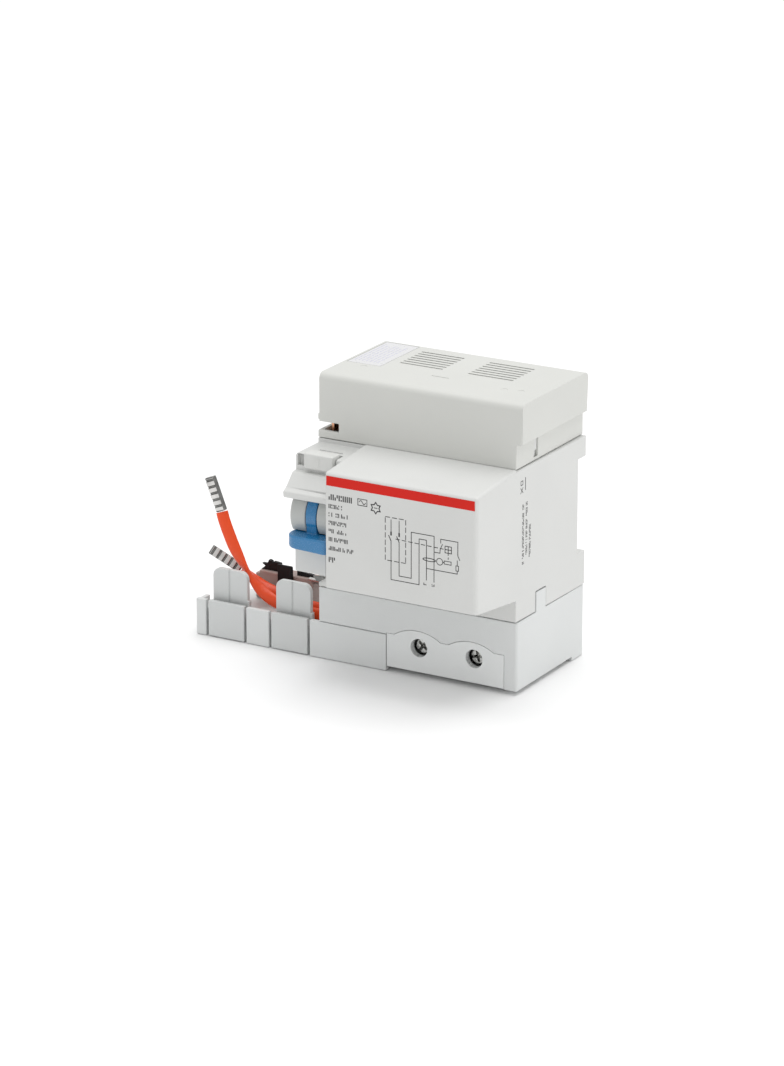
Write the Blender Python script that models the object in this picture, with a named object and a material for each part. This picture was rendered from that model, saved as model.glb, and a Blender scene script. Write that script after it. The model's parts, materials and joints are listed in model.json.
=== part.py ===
"""Two-pole residual current block with its connection tail, leads and toggle.

Shapes are drawn in millimetres in the housing frame: x runs right from the left side of
the housing, y runs back from the front to the rear plane at 0, z runs up from the housing's
underside. ORIGIN moves that frame so that the tail stands on z = 0 of the world.
"""

import math

import bmesh
import bpy
from mathutils import Matrix, Vector

MM = 0.001
GAP = 0.3

# Housing
HEIGHT = 104.5
SHOULDER = -49.5
NOSE_FRONT = -77.2
NOSE_LEFT = 19.4
LOW_SEAM = 25.4
HIGH_SEAM = 81.0
WALL = 1.8
COVER_RIGHT = 81.2
BASE_LEFT, BASE_RIGHT = 2.1, 77.1
ROOF = 2.0
PLATFORM = 79.8

# Planes clear of the walls that are cut, where the cuts begin and end
ABOVE, BELOW, INSIDE, BESIDE, BEHIND = 110.0, 70.0, 70.0, 90.0, 5.0

# Rail seat
RAIL_LOW, RAIL_HIGH = 38.2, 73.3
RAIL_DEPTH = 5.5

# Tail
TAIL_LEFT, TAIL_RIGHT = -51.7, 27.6
TAIL_FRONT = SHOULDER - GAP
TAIL_BACK = -22.0
TAIL_DROP = 1.5
TAIL_LIP = 12.1
TAIL_DECK = 8.5
TONGUE_LEFTS = (-46.6, -20.0)
TONGUE_WIDTH = 15.1
TONGUE_SLOT = 1.0
TAB_TOP = 23.8

# Toggle and test button
TOGGLE_Y, TOGGLE_Z = -62.0, 58.3
DRUM_RADIUS, AXLE_RADIUS = 9.2, 1.5
TRIP_Y, TRIP_Z, TRIP_RADIUS = -50.5, 64.0, 2.0
TEST_X, TEST_Z, TEST_STEM = 10.1, 76.6, 1.3

# Side tongue of the lower housing, in a gap of the middle one
TONGUE_FRONT, TONGUE_BACK = -35.3, -28.3

# Terminals
TERMINAL_X = (41.0, 63.2)
TERMINAL_Z = 9.3
HOLE_RADIUS = 3.4

# Leads
LEAD_RADIUS = 2.2
LEAD_A = (
    (0.0, -41.0, 11.2), (-6.0, -41.0, 11.2), (-12.0, -41.0, 11.3), (-18.0, -41.0, 11.8),
    (-23.8, -41.0, 13.1), (-28.9, -41.0, 16.0), (-33.2, -41.0, 20.1), (-36.7, -41.0, 24.6),
    (-40.4, -40.9, 30.3), (-43.4, -40.6, 36.2), (-45.3, -40.3, 40.4), (-46.3, -40.0, 43.1),
)
LEAD_B = (
    (0.0, -35.4, 11.2), (-6.0, -35.4, 11.2), (-12.0, -35.3, 11.4), (-18.0, -35.0, 12.0),
    (-24.0, -34.8, 13.1), (-30.4, -34.7, 15.1), (-36.2, -35.0, 18.3), (-40.4, -36.3, 21.1),
)
LUG_A_TIP = (-51.2, -40.0, 55.6)
LUG_B_TIP = (-51.2, -40.0, 28.1)
LUG_WIDTH, LUG_THICK = 4.6, 3.6

ORIGIN = Vector((-(TAIL_LEFT + COVER_RIGHT) / 2, -NOSE_FRONT / 2, TAIL_DROP))

COLOURS = {
    "cover_grey": ((0.78, 0.78, 0.76), 0.45, 0.0),
    "housing_grey": ((0.72, 0.72, 0.71), 0.45, 0.0),
    "tail_grey": ((0.60, 0.60, 0.59), 0.5, 0.0),
    "latch_grey": ((0.56, 0.57, 0.56), 0.45, 0.0),
    "cheek_grey": ((0.50, 0.52, 0.50), 0.4, 0.0),
    "label_grey": ((0.62, 0.64, 0.63), 0.4, 0.0),
    "stripe_red": ((0.60, 0.02, 0.01), 0.35, 0.0),
    "sticker_white": ((0.85, 0.85, 0.87), 0.3, 0.0),
    "handle_blue": ((0.03, 0.22, 0.55), 0.3, 0.0),
    "shroud_mauve": ((0.30, 0.18, 0.15), 0.55, 0.0),
    "clip_black": ((0.02, 0.02, 0.02), 0.4, 0.0),
    "lead_orange": ((0.85, 0.08, 0.01), 0.4, 0.0),
    "tinned": ((0.55, 0.55, 0.54), 0.35, 0.9),
    "zinc": ((0.60, 0.60, 0.58), 0.3, 1.0),
    "steel": ((0.50, 0.50, 0.50), 0.3, 1.0),
    "copper": ((0.72, 0.32, 0.16), 0.3, 1.0),
    "winding": ((0.45, 0.16, 0.05), 0.4, 0.6),
    "ferrite": ((0.06, 0.06, 0.06), 0.6, 0.0),
    "bobbin": ((0.75, 0.70, 0.55), 0.5, 0.0),
    "board": ((0.04, 0.20, 0.07), 0.5, 0.0),
    "component": ((0.25, 0.30, 0.45), 0.4, 0.0),
}


def clear_scene():
    for item in list(bpy.data.objects):
        bpy.data.objects.remove(item)


def material(name):
    found = bpy.data.materials.get(name)
    if found:
        return found
    colour, roughness, metallic = COLOURS[name]
    made = bpy.data.materials.new(name)
    made.use_nodes = True
    shader = made.node_tree.nodes["Principled BSDF"]
    shader.inputs["Base Color"].default_value = (*colour, 1.0)
    shader.inputs["Roughness"].default_value = roughness
    shader.inputs["Metallic"].default_value = metallic
    return made


# Outlines, in two coordinates

def rectangle(low, high):
    return [(low[0], low[1]), (high[0], low[1]), (high[0], high[1]), (low[0], high[1])]


def circle(centre, radius, sides=20):
    turn = 2 * math.pi / sides
    return [
        (centre[0] + radius * math.cos(turn * i), centre[1] + radius * math.sin(turn * i))
        for i in range(sides)
    ]


def corner_arc(here, before, after, radius, steps):
    """Points of the arc that rounds the corner at here, between its two neighbours."""
    back = (Vector(before) - here).normalized()
    ahead = (Vector(after) - here).normalized()
    half = back.angle(ahead) / 2
    centre = here + (back + ahead).normalized() * radius / math.sin(half)
    start = (here + back * radius / math.tan(half) - centre).normalized()
    end = (here + ahead * radius / math.tan(half) - centre).normalized()
    return [centre + start.slerp(end, step / steps) * radius for step in range(steps + 1)]


def rounded(outline, radii, steps=4):
    """The outline with the corners whose index is in radii turned into arcs."""
    points = []
    count = len(outline)
    for i, corner in enumerate(outline):
        radius = radii.get(i, 0.0)
        if not radius:
            points.append(corner)
            continue
        points += [tuple(point) for point in corner_arc(Vector(corner), outline[i - 1],
                                                        outline[(i + 1) % count], radius, steps)]
    return points


def arch(left, right, base, rise, steps=8):
    """Points along a low arch from right to left, ends included."""
    half = (right - left) / 2
    radius = (half * half + rise * rise) / (2 * rise)
    spread = math.asin(half / radius)
    centre = ((left + right) / 2, base + rise - radius)
    return [
        (centre[0] + radius * math.sin(a), centre[1] + radius * math.cos(a))
        for a in (spread * (1 - 2 * i / steps) for i in range(steps + 1))
    ]


# Solids, as bmeshes in housing millimetres

def prism(axis, outline, low, high):
    """The outline, drawn across the axis, carried from low to high along it."""
    place = {
        "x": lambda p, at: (at, p[0], p[1]),
        "y": lambda p, at: (p[0], at, p[1]),
        "z": lambda p, at: (p[0], p[1], at),
    }[axis]
    shape = bmesh.new()
    start = [shape.verts.new(place(p, low)) for p in outline]
    end = [shape.verts.new(place(p, high)) for p in outline]
    shape.faces.new(start)
    shape.faces.new(list(reversed(end)))
    for i in range(len(outline)):
        j = (i + 1) % len(outline)
        shape.faces.new((start[j], start[i], end[i], end[j]))
    bmesh.ops.recalc_face_normals(shape, faces=shape.faces)
    return shape


def block(low, high):
    return prism("z", rectangle(low[:2], high[:2]), low[2], high[2])


def rod(axis, centre, radius, low, high, sides=20):
    return prism(axis, circle(centre, radius, sides), low, high)


def frustum(near_y, near, far_y, far):
    """A box whose x and z limits change evenly from one y plane to another."""
    shape = bmesh.new()
    loops = []
    for at, ((left, right), (low, high)) in ((near_y, near), (far_y, far)):
        corners = ((left, low), (right, low), (right, high), (left, high))
        loops.append([shape.verts.new((x, at, z)) for x, z in corners])
    shape.faces.new(loops[0])
    shape.faces.new(list(reversed(loops[1])))
    for i in range(4):
        j = (i + 1) % 4
        shape.faces.new((loops[0][j], loops[0][i], loops[1][i], loops[1][j]))
    bmesh.ops.recalc_face_normals(shape, faces=shape.faces)
    return shape


def turned(centre, profile, sides=28):
    """A closed (radius, z) profile turned about a vertical line through centre."""
    shape = bmesh.new()
    rings = []
    for step in range(sides):
        angle = 2 * math.pi * step / sides
        rings.append([
            shape.verts.new((
                centre[0] + radius * math.cos(angle), centre[1] + radius * math.sin(angle), z))
            for radius, z in profile
        ])
    for step in range(sides):
        ring, following = rings[step], rings[(step + 1) % sides]
        for i in range(len(profile)):
            j = (i + 1) % len(profile)
            shape.faces.new((ring[i], ring[j], following[j], following[i]))
    bmesh.ops.recalc_face_normals(shape, faces=shape.faces)
    return shape


def merged(*shapes):
    """Several solids that stand clear of each other, in one bmesh, for a cutter."""
    whole = shapes[0]
    for shape in shapes[1:]:
        copied = bpy.data.meshes.new("copied")
        shape.to_mesh(copied)
        shape.free()
        whole.from_mesh(copied)
        bpy.data.meshes.remove(copied)
    return whole


# Objects

def add(name, shape, look=None, pivot=(0.0, 0.0, 0.0), smooth=False):
    """A named object from a bmesh, with its origin at the pivot."""
    pivot = Vector(pivot)
    bmesh.ops.translate(shape, verts=shape.verts, vec=-pivot)
    bmesh.ops.scale(shape, verts=shape.verts, vec=(MM, MM, MM))
    mesh = bpy.data.meshes.new(name)
    shape.to_mesh(mesh)
    shape.free()
    if smooth:
        mesh.shade_smooth()
        mesh.set_sharp_from_angle(angle=math.radians(40))
    made = bpy.data.objects.new(name, mesh)
    made.location = (ORIGIN + pivot) * MM
    bpy.context.scene.collection.objects.link(made)
    if look:
        mesh.materials.append(material(look))
    return made


def combine(target, shape, operation):
    """A Boolean of the target with a guide solid that isn't a piece itself."""
    guide = add(f"guide_{target.name}_{len(target.modifiers)}", shape)
    guide.hide_render = True
    guide.display_type = "WIRE"
    step = target.modifiers.new(operation.lower(), "BOOLEAN")
    step.operation = operation
    step.solver = "EXACT"
    step.object = guide


def join(target, *shapes):
    for shape in shapes:
        combine(target, shape, "UNION")


def cut(target, *shapes):
    for shape in shapes:
        combine(target, shape, "DIFFERENCE")


def smooth_route(points, spacing):
    """Evenly spaced points on a smooth curve through the given ones."""
    knots = [Vector(p) for p in points]
    knots = [2 * knots[0] - knots[1], *knots, 2 * knots[-1] - knots[-2]]
    fine = []
    pieces = 12
    for a, b, c, d in zip(knots, knots[1:], knots[2:], knots[3:]):
        for step in range(pieces):
            t = step / pieces
            fine.append(0.5 * (
                2 * b + (c - a) * t + (2 * a - 5 * b + 4 * c - d) * t * t
                + (3 * b - 3 * c + d - a) * t * t * t))
    fine.append(knots[-2])
    length = sum((q - p).length for p, q in zip(fine, fine[1:]))
    count = max(2, round(length / spacing))
    even, walked, goal = [fine[0]], 0.0, length / count
    for p, q in zip(fine, fine[1:]):
        run = (q - p).length
        while walked + run >= goal * len(even) and len(even) < count:
            even.append(p.lerp(q, (goal * len(even) - walked) / run))
        walked += run
    even.append(fine[-1])
    return even


def bent_route(points, radius, steps=4):
    """Straight runs joined by arcs of one radius."""
    route = [Vector(points[0])]
    for before, here, after in zip(points, points[1:], points[2:]):
        route += corner_arc(Vector(here), before, after, radius, steps)
    route.append(Vector(points[-1]))
    return route


def tube(name, route, radius, look, resolution=2, pivot=(0.0, 0.0, 0.0)):
    """A round wire along the route, with flat filled ends."""
    pivot = Vector(pivot)
    curve = bpy.data.curves.new(name, "CURVE")
    curve.dimensions = "3D"
    curve.bevel_depth = radius * MM
    curve.bevel_resolution = resolution
    curve.use_fill_caps = True
    spline = curve.splines.new("POLY")
    spline.points.add(len(route) - 1)
    for point, place in zip(spline.points, route):
        point.co = (*((place - pivot) * MM), 1.0)
    curve.materials.append(material(look))
    made = bpy.data.objects.new(name, curve)
    made.location = (ORIGIN + pivot) * MM
    bpy.context.scene.collection.objects.link(made)
    return made


# Housing

def top_cover():
    corner = 2.5
    outline = rounded(
        [(SHOULDER, HIGH_SEAM + GAP), (SHOULDER + 1.0, HEIGHT), (0.0, HEIGHT),
         (0.0, HIGH_SEAM + GAP)],
        {1: corner, 2: corner})
    cover = add("top_cover", prism("x", outline, 0.0, COVER_RIGHT), "cover_grey")
    step_height, step_depth = 90.0, 1.9
    notch_low, notch_high, notch_right = 83.8, 86.9, 8.3
    hook_front, hook_back, hook_inner, hook_low = -36.5, -33.5, 78.6, 82.3
    cut(
        cover,
        block((WALL, SHOULDER + WALL, BELOW), (BASE_RIGHT + GAP, BEHIND, HEIGHT - ROOF)),
        block((COVER_RIGHT - step_depth, -60.0, BELOW), (BESIDE, BEHIND, step_height)),
        block((-5.0, -60.0, notch_low), (notch_right, -40.0, notch_high)),
        block((INSIDE, hook_front, BELOW), (hook_inner, hook_back, step_height)),
        block((INSIDE, hook_front, hook_low), (BESIDE, hook_back, step_height)),
    )
    slots = []
    slot_count, first, pitch, width = 7, -24.0, 2.6, 1.0
    for left, right in ((18.4, 35.7), (45.9, 63.9)):
        for i in range(slot_count):
            start = first + pitch * i
            slots.append(block((left, start, step_height), (right, start + width, ABOVE)))
    cut(cover, merged(*slots))
    left, right, front, back, depth = 1.0, 14.8, -31.3, -2.8, 0.8
    cut(cover, block((left, front, HEIGHT - depth), (right, back, ABOVE)))
    add(
        "top_sticker",
        block((left + GAP, front + GAP, HEIGHT - depth + GAP), (right - GAP, back - GAP, HEIGHT)),
        "sticker_white")


def middle_housing():
    low, high = LOW_SEAM + GAP, HIGH_SEAM - GAP
    rear_right, front_right, beyond = 80.7, 79.2, 85.0
    stripe_low, stripe_high, label_depth = 73.9, 77.8, 0.8
    housing = add(
        "middle_housing", block((0.0, SHOULDER, low), (beyond, 0.0, high)), "housing_grey")
    inner_right = BASE_RIGHT + GAP

    nose_back, nose_low, nose_high = -45.0, (33.0, 36.5), (80.4, 77.9)
    join(housing, frustum(
        nose_back, ((NOSE_LEFT, beyond), (nose_low[0], nose_high[0])),
        NOSE_FRONT, ((NOSE_LEFT, beyond), (nose_low[1], nose_high[1]))))

    column_face, column_right = -65.7, 20.0
    column = [
        (nose_back, 34.4), (column_face, 36.1), (column_face, 64.6), (-73.4, 65.4),
        (-73.8, 67.6), (-71.6, 68.8), (-67.2, 73.2), (-64.8, 73.4), (-64.6, PLATFORM),
        (nose_back, PLATFORM),
    ]
    join(housing, prism(
        "x", rounded(column, {3: 0.8, 4: 0.8, 5: 1.5, 8: 1.0}, 3), 0.0, column_right))
    side = [(front_right, NOSE_FRONT), (front_right, -90.0), (BESIDE, -90.0), (BESIDE, 10.0),
            (rear_right, 10.0), (rear_right, 0.0)]
    cut(housing, prism("z", side, 0.0, ABOVE))

    hook_inner, hook_front, hook_back, hook_top = 77.5, -36.2, -33.8, 88.8
    join(
        housing,
        block((hook_inner, hook_front, BELOW), (hook_inner + 0.8, hook_back, hook_top)),
        block((hook_inner, hook_front, 84.5), (hook_inner + 1.4, hook_back, hook_top)),
    )

    shaft_room, skin = 6.0, 1.2
    cut(
        housing,
        block((WALL, SHOULDER + WALL, 0.0), (inner_right, BEHIND, high - shaft_room)),
        frustum(
            -40.0, ((NOSE_LEFT + WALL, inner_right), (36.2, 78.3)),
            NOSE_FRONT + WALL, ((NOSE_LEFT + WALL, inner_right), (38.6, 75.9))),
        block((skin, column_face + 1.5, 37.3), (NOSE_LEFT, -40.0, 66.0)),
        block((skin, -57.8, 65.0), (18.0, -40.0, 78.4)),
        rod("x", (TOGGLE_Y, TOGGLE_Z), DRUM_RADIUS + 0.4, 1.0, NOSE_LEFT - 0.2, 32),
        block((WALL, SHOULDER + WALL, 74.0), (inner_right, BEHIND, BESIDE)),
    )
    well_left, well_right, well_floor, well_back = 4.0, 16.2, 74.5, -59.3
    pit_left, pit_right, pit_low, pit_high, pit_back = 0.7, 3.3, 75.0, 79.0, -62.6
    cut(
        housing,
        rod("x", (TOGGLE_Y, TOGGLE_Z), AXLE_RADIUS + GAP, -5.0, 24.0, 16),
        rod("x", (TRIP_Y, TRIP_Z), TRIP_RADIUS + 2 * GAP, -5.0, 24.0, 16),
        block((well_left, -80.0, well_floor), (well_right, well_back, BESIDE)),
        block((pit_left, -80.0, pit_low), (pit_right, pit_back, pit_high)),
        rod("y", (TEST_X, TEST_Z), TEST_STEM + GAP, -62.0, -56.0, 16),
    )
    label_left, label_right, label_low, label_high = 21.0, 77.6, 39.4, 73.1
    cut(
        housing,
        block((NOSE_LEFT - 5.0, -90.0, stripe_low),
              (BESIDE, NOSE_FRONT + label_depth, stripe_high)),
        block((label_left, -90.0, label_low),
              (label_right, NOSE_FRONT + label_depth, label_high)),
        block((-5.0, -RAIL_DEPTH, RAIL_LOW), (BESIDE, BEHIND, RAIL_HIGH)),
        block((INSIDE, TONGUE_FRONT - GAP, 20.0), (BESIDE, TONGUE_BACK + GAP, 33.0)),
    )
    face_depth = label_depth - GAP
    add(
        "rating_stripe",
        block((NOSE_LEFT, NOSE_FRONT, stripe_low + GAP),
              (front_right, NOSE_FRONT + face_depth, stripe_high - GAP)),
        "stripe_red")
    add(
        "front_label",
        block((label_left + GAP, NOSE_FRONT, label_low + GAP),
              (label_right - GAP, NOSE_FRONT + face_depth, label_high - GAP)),
        "label_grey")


def cover_outline(margin):
    """The terminal cover's front outline, grown by a margin."""
    left, right, low, high = 27.9 - margin, 75.1 + margin, 0.3 - margin, 12.7 + margin
    points = [(left, low), (right, low), (right, high)]
    for start, end, rise in ((53.1, 71.0, 2.6), (31.0, 49.6, 2.8)):
        points += arch(start - margin, end + margin, high, rise)
    points.append((left, high))
    return points


def bottom_housing():
    right = 80.3
    top = LOW_SEAM - GAP
    front_wall = 2.6
    housing = add("bottom_housing", block((0.0, SHOULDER, 0.0), (right, 0.0, top)), "housing_grey")
    collar, collar_y, entry_y = 6.0, (-31.5, -19.5), (-29.5, -21.5)
    entry = 4.5
    for x in TERMINAL_X:
        join(housing, block((x - collar, collar_y[0], -TAIL_DROP), (x + collar, collar_y[1], 1.0)))
    join(housing, block((BASE_RIGHT + 1.0, TONGUE_FRONT, 20.0), (right, TONGUE_BACK, 32.6)))
    foot = 8.0
    join(housing, block((right - foot, -foot, -TAIL_DROP), (right, 0.0, 1.0)))
    join(housing, block((0.0, -foot, -TAIL_DROP), (foot, 0.0, 1.0)))
    cut(
        housing,
        block((WALL, SHOULDER + front_wall, WALL), (BASE_RIGHT + 0.3, 5.0, 30.0)),
        block((-5.0, -60.0, -5.0), (TAIL_RIGHT + GAP, TAIL_BACK + GAP, TAIL_LIP + GAP)),
        block((-5.0, -46.3, 10.0), (8.0, -33.0, 14.2)),
        prism("y", cover_outline(GAP), -60.0, SHOULDER + 1.2),
    )
    for x in TERMINAL_X:
        cut(
            housing,
            rod("y", (x, TERMINAL_Z), HOLE_RADIUS, -60.0, -45.0),
            block((x - entry, entry_y[0], -5.0), (x + entry, entry_y[1], 5.0)),
        )


def terminal_cover():
    plate = add(
        "terminal_cover", prism("y", cover_outline(0.0), SHOULDER - 0.4, SHOULDER + 0.9),
        "label_grey")
    for x in TERMINAL_X:
        cut(plate, rod("y", (x, TERMINAL_Z), HOLE_RADIUS, -60.0, -45.0))


def rear_base():
    """The back plate with the rail seat: a fixed hook above and the spring latch below."""
    plate, floor = 2.0, RAIL_DEPTH + 2.0
    hook_depth, hook_lip = 2.3, 3.9
    play = 0.4
    relief, latch_nose = RAIL_DEPTH + play, 2.0
    outline = [
        (0.0, BASE_LEFT), (0.0, RAIL_LOW), (-relief, RAIL_LOW), (-relief, RAIL_LOW + latch_nose),
        (-RAIL_DEPTH, RAIL_LOW + latch_nose), (-RAIL_DEPTH, RAIL_HIGH - play),
        (-relief, RAIL_HIGH - play),
        (-relief, RAIL_HIGH + hook_depth), (-hook_lip, RAIL_HIGH + hook_depth),
        (-hook_lip, RAIL_HIGH), (0.0, RAIL_HIGH), (0.0, HEIGHT - ROOF - GAP),
        (-plate, HEIGHT - ROOF - GAP), (-plate, RAIL_HIGH + 2 * hook_depth),
        (-floor, RAIL_HIGH + 2 * hook_depth), (-floor, RAIL_LOW - plate),
        (-plate, RAIL_LOW - plate), (-plate, BASE_LEFT),
    ]
    base = add("rear_base", prism("x", outline, BASE_LEFT, BASE_RIGHT), "latch_grey")
    latch_left, latch_right = 30.0, 50.0
    cut(base, block((latch_left, -4.5, 4.0), (latch_right, BEHIND, RAIL_LOW + play)))
    rivet = 1.7
    for name, centre in (("rear_rivet_low", (12.0, 14.0)), ("rear_rivet_high", (67.0, 92.0))):
        cut(base, rod("y", centre, rivet + GAP, -5.0, BEHIND, 12))
        add(name, rod("y", centre, rivet, -3.2, -0.2, 12), "steel", smooth=True)

    latch = add(
        "rail_latch",
        block((latch_left + GAP, -4.2, 8.0), (latch_right - GAP, -0.4, RAIL_LOW + 1.6)),
        "latch_grey")
    join(latch, block((latch_left - 1.5, -4.2, 9.0), (latch_right + 1.5, -plate - GAP, 34.0)))
    cut(latch, block((36.0, -1.6, 9.5), (44.0, 5.0, 12.5)))


# Tail

def connection_tail():
    outline = [
        (TAIL_FRONT, -TAIL_DROP), (-43.8, -TAIL_DROP), (-43.8, 0.0), (TAIL_BACK, 0.0),
        (TAIL_BACK, TAIL_DECK), (TAIL_FRONT + WALL, TAIL_DECK), (TAIL_FRONT + WALL, TAIL_LIP),
        (TAIL_FRONT, TAIL_LIP),
    ]
    tail = add("connection_tail", prism("x", outline, TAIL_LEFT, TAIL_RIGHT), "tail_grey")
    join(tail, block((TAIL_LEFT, TAIL_FRONT, 0.0), (TAIL_LEFT + WALL, -43.0, TAIL_LIP - 0.4)))
    floor, deck_skin = 1.5, 1.7
    cut(tail, block((TAIL_LEFT + WALL, TAIL_FRONT + WALL, floor),
                    (TAIL_RIGHT - WALL, -10.0, TAIL_DECK - deck_skin)))
    for left in TONGUE_LEFTS:
        cut(tail, block((left - TONGUE_SLOT, -60.0, -5.0),
                        (left + TONGUE_WIDTH + TONGUE_SLOT, -43.5, 20.0)))
    cut(tail, block((7.0, -42.0, 6.0), (25.0, -26.0, 20.0)))
    add(
        "tail_back_cover",
        block((TAIL_LEFT + WALL + GAP, TAIL_BACK - 1.6, floor + GAP),
              (TAIL_RIGHT - WALL - GAP, TAIL_BACK, TAIL_DECK - deck_skin - GAP)),
        "latch_grey")


def pole_latches():
    """Tongues between the slots of the tail, each with a tab that grips one breaker pole."""
    front, back = TAIL_FRONT, -44.3
    plate, tab = 1.8, 1.9
    hinge = (0.0, -44.6, 0.0)
    profile = [
        (front, -TAIL_DROP + 0.2), (back, -TAIL_DROP + 0.2), (back, TAB_TOP),
        (back - tab, TAB_TOP), (back - tab, 0.6), (front + plate, 0.6),
        (front + plate, TAIL_LIP), (front, TAIL_LIP),
    ]
    tab_width, corner, tab_low, clear = 14.5, 3.0, TAIL_LIP + 1.0, 20.0
    for side, left in zip(("left", "right"), TONGUE_LEFTS):
        middle, right = left + TONGUE_WIDTH / 2, left + tab_width
        latch = add(
            f"pole_latch_{side}", prism("x", profile, left, left + TONGUE_WIDTH),
            "latch_grey", (middle, hinge[1], hinge[2]))
        tab_outline = rounded(
            [(left, tab_low), (left, TAB_TOP), (right, TAB_TOP), (right, tab_low)],
            {1: corner, 2: corner})
        around = [
            (left - clear, tab_low), *tab_outline, (right + clear, tab_low),
            (right + clear, TAB_TOP + clear), (left - clear, TAB_TOP + clear),
        ]
        cut(latch, prism("y", around, -47.5, -40.0))


def pole_insulation():
    left, right, front, back, top = -38.5, -15.6, -30.0, -24.0, 19.6
    add("shroud_block", block((left, front, TAIL_DECK + GAP), (right, back, top)), "shroud_mauve")
    clip = add(
        "centre_clip",
        block((-28.2, front - GAP - 1.3, 12.0), (-22.2, back + 1.0, 23.8)), "clip_black")
    cut(clip, block((-35.0, front - GAP, 5.0), (-15.0, 0.0, top + GAP)))
    teeth_left = [(left + 1.5, top + GAP), (-28.5, top + GAP), (-28.5, 23.0), (-31.4, 23.0),
                  (-31.8, 21.6), (-32.2, 23.0), (-35.0, 23.2), (-35.4, 21.6), (-37.8, 21.4)]
    add("comb_left", prism("y", teeth_left, -28.4, -25.6), "clip_black")
    teeth_right = [(-21.9, top + GAP), (right + 0.6, top + GAP), (right + 0.6, 20.9),
                   (-18.3, 21.2), (-18.7, 20.6), (-19.1, 21.4), (-21.3, 22.0), (-21.9, 23.2)]
    add("comb_right", prism("y", teeth_right, -28.4, -25.6), "clip_black")
    leaf = [(right + 0.9, -27.6), (-8.4, -27.0), (-7.0, -25.6), (right + 0.9, -24.6)]
    add("spring_leaf", prism("z", leaf, 17.9, 19.7), "steel")


def lug(name, base, tip):
    """A tinned bar with pressed cross ribs, lying along the end of its lead."""
    base, tip = Vector(base), Vector(tip)
    along = (tip - base).normalized()
    length = (tip - base).length
    ribs, groove, depth = 5, 0.9, 0.45
    half = LUG_THICK / 2
    top = []
    for i in range(ribs):
        at = length * (i + 1) / (ribs + 1)
        top += [(at - groove / 2, half), (at - groove / 4, half - depth),
                (at + groove / 4, half - depth), (at + groove / 2, half)]
    outline = [(GAP, -half), (length, -half), (length, half), *reversed(top), (GAP, half)]
    shape = prism("y", outline, -LUG_WIDTH / 2, LUG_WIDTH / 2)
    across = Vector((0.0, 1.0, 0.0))
    across = (across - along * across.dot(along)).normalized()
    facing = along.cross(across)
    turn = Matrix((along, across, facing)).transposed().to_4x4()
    bmesh.ops.transform(shape, matrix=Matrix.Translation(base) @ turn, verts=shape.verts)
    bmesh.ops.recalc_face_normals(shape, faces=shape.faces)
    add(name, shape, "tinned")


def leads():
    add("lead_gland", block((GAP, -46.0, TAIL_DECK + GAP), (6.5, -33.3, 13.9)), "latch_grey")
    spacing = 4.0
    for letter, route, tip in (("a", LEAD_A, LUG_A_TIP), ("b", LEAD_B, LUG_B_TIP)):
        tube(f"lead_{letter}", smooth_route(route, spacing), LEAD_RADIUS, "lead_orange")
        lug(f"lug_{letter}", route[-1], tip)


# Toggle, test button and trip gear

def toggle():
    axis = (0.0, TOGGLE_Y, TOGGLE_Z)
    centre = (TOGGLE_Y, TOGGLE_Z)
    bar_low, bar_high, bar_back, bar_front = 47.6, 52.6, -66.0, -75.5
    web_left, web_right = 7.6, 11.7
    corner = 4.8
    plan = rounded(
        [(1.3, bar_back), (1.3, bar_front), (18.9, bar_front), (18.9, bar_back)],
        {1: corner, 2: corner}, 5)
    handle = add("toggle_handle", prism("z", plan, bar_low, bar_high), "handle_blue", axis)
    join(
        handle,
        rod("x", centre, DRUM_RADIUS, web_left, web_right, 32),
        block((web_left, -71.5, 50.0), (web_right, -62.0, 57.0)),
    )
    cut(handle, rod("x", centre, AXLE_RADIUS + GAP, 0.0, 20.0, 16))
    for side, left, right in (("left", 1.3, web_left - GAP), ("right", web_right + GAP, 18.9)):
        cheek = add(
            f"toggle_cheek_{side}", rod("x", centre, DRUM_RADIUS, left, right, 32),
            "cheek_grey", axis)
        cut(
            cheek,
            rod("x", centre, AXLE_RADIUS + GAP, 0.0, 20.0, 16),
            block((0.0, -90.0, bar_low - 5.0), (20.0, bar_back + GAP, bar_high + GAP)),
        )
    add("toggle_axle", rod("x", centre, AXLE_RADIUS, 0.2, 20.8, 16), "steel", smooth=True)


def test_button():
    half, front, back = 5.8, -66.5, -61.3
    button = add(
        "test_button",
        block((TEST_X - half, front, 74.8), (TEST_X + half, back, 80.4)), "housing_grey",
        (TEST_X, back, TEST_Z))
    join(button, rod("y", (TEST_X, TEST_Z), TEST_STEM, -62.0, -54.5, 16))
    strip = [(-52.5, 72.0), (-51.9, 72.0), (-51.9, 78.1), (-52.5, 78.1)]
    add("test_contact", prism("x", strip, 7.0, 13.2), "copper")


def trip_gear():
    axis = (0.0, TRIP_Y, TRIP_Z)
    centre = (TRIP_Y, TRIP_Z)
    lever_left, lever_right, hub = 31.0, 37.0, 4.0
    add("trip_shaft", rod("x", centre, TRIP_RADIUS, 2.4, 42.0, 16), "steel", axis, smooth=True)
    lever = add(
        "trip_lever", rod("x", centre, hub, lever_left, lever_right, 20), "cheek_grey", axis)
    join(lever, block((lever_left, -66.0, TRIP_Z - 1.0), (lever_right, TRIP_Y, TRIP_Z + 1.4)))
    cut(lever, rod("x", centre, TRIP_RADIUS + GAP, 25.0, 45.0, 16))
    coil, wire, turns, steps = 2.9, 0.4, 5, 10
    left, right = 23.0, 29.0
    route = []
    for i in range(turns * steps + 1):
        angle = 2 * math.pi * i / steps
        route.append(Vector((
            left + (right - left) * i / (turns * steps),
            TRIP_Y + coil * math.cos(angle), TRIP_Z + coil * math.sin(angle))))
    tube("trip_spring", route, wire, "steel", 1, axis)


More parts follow.
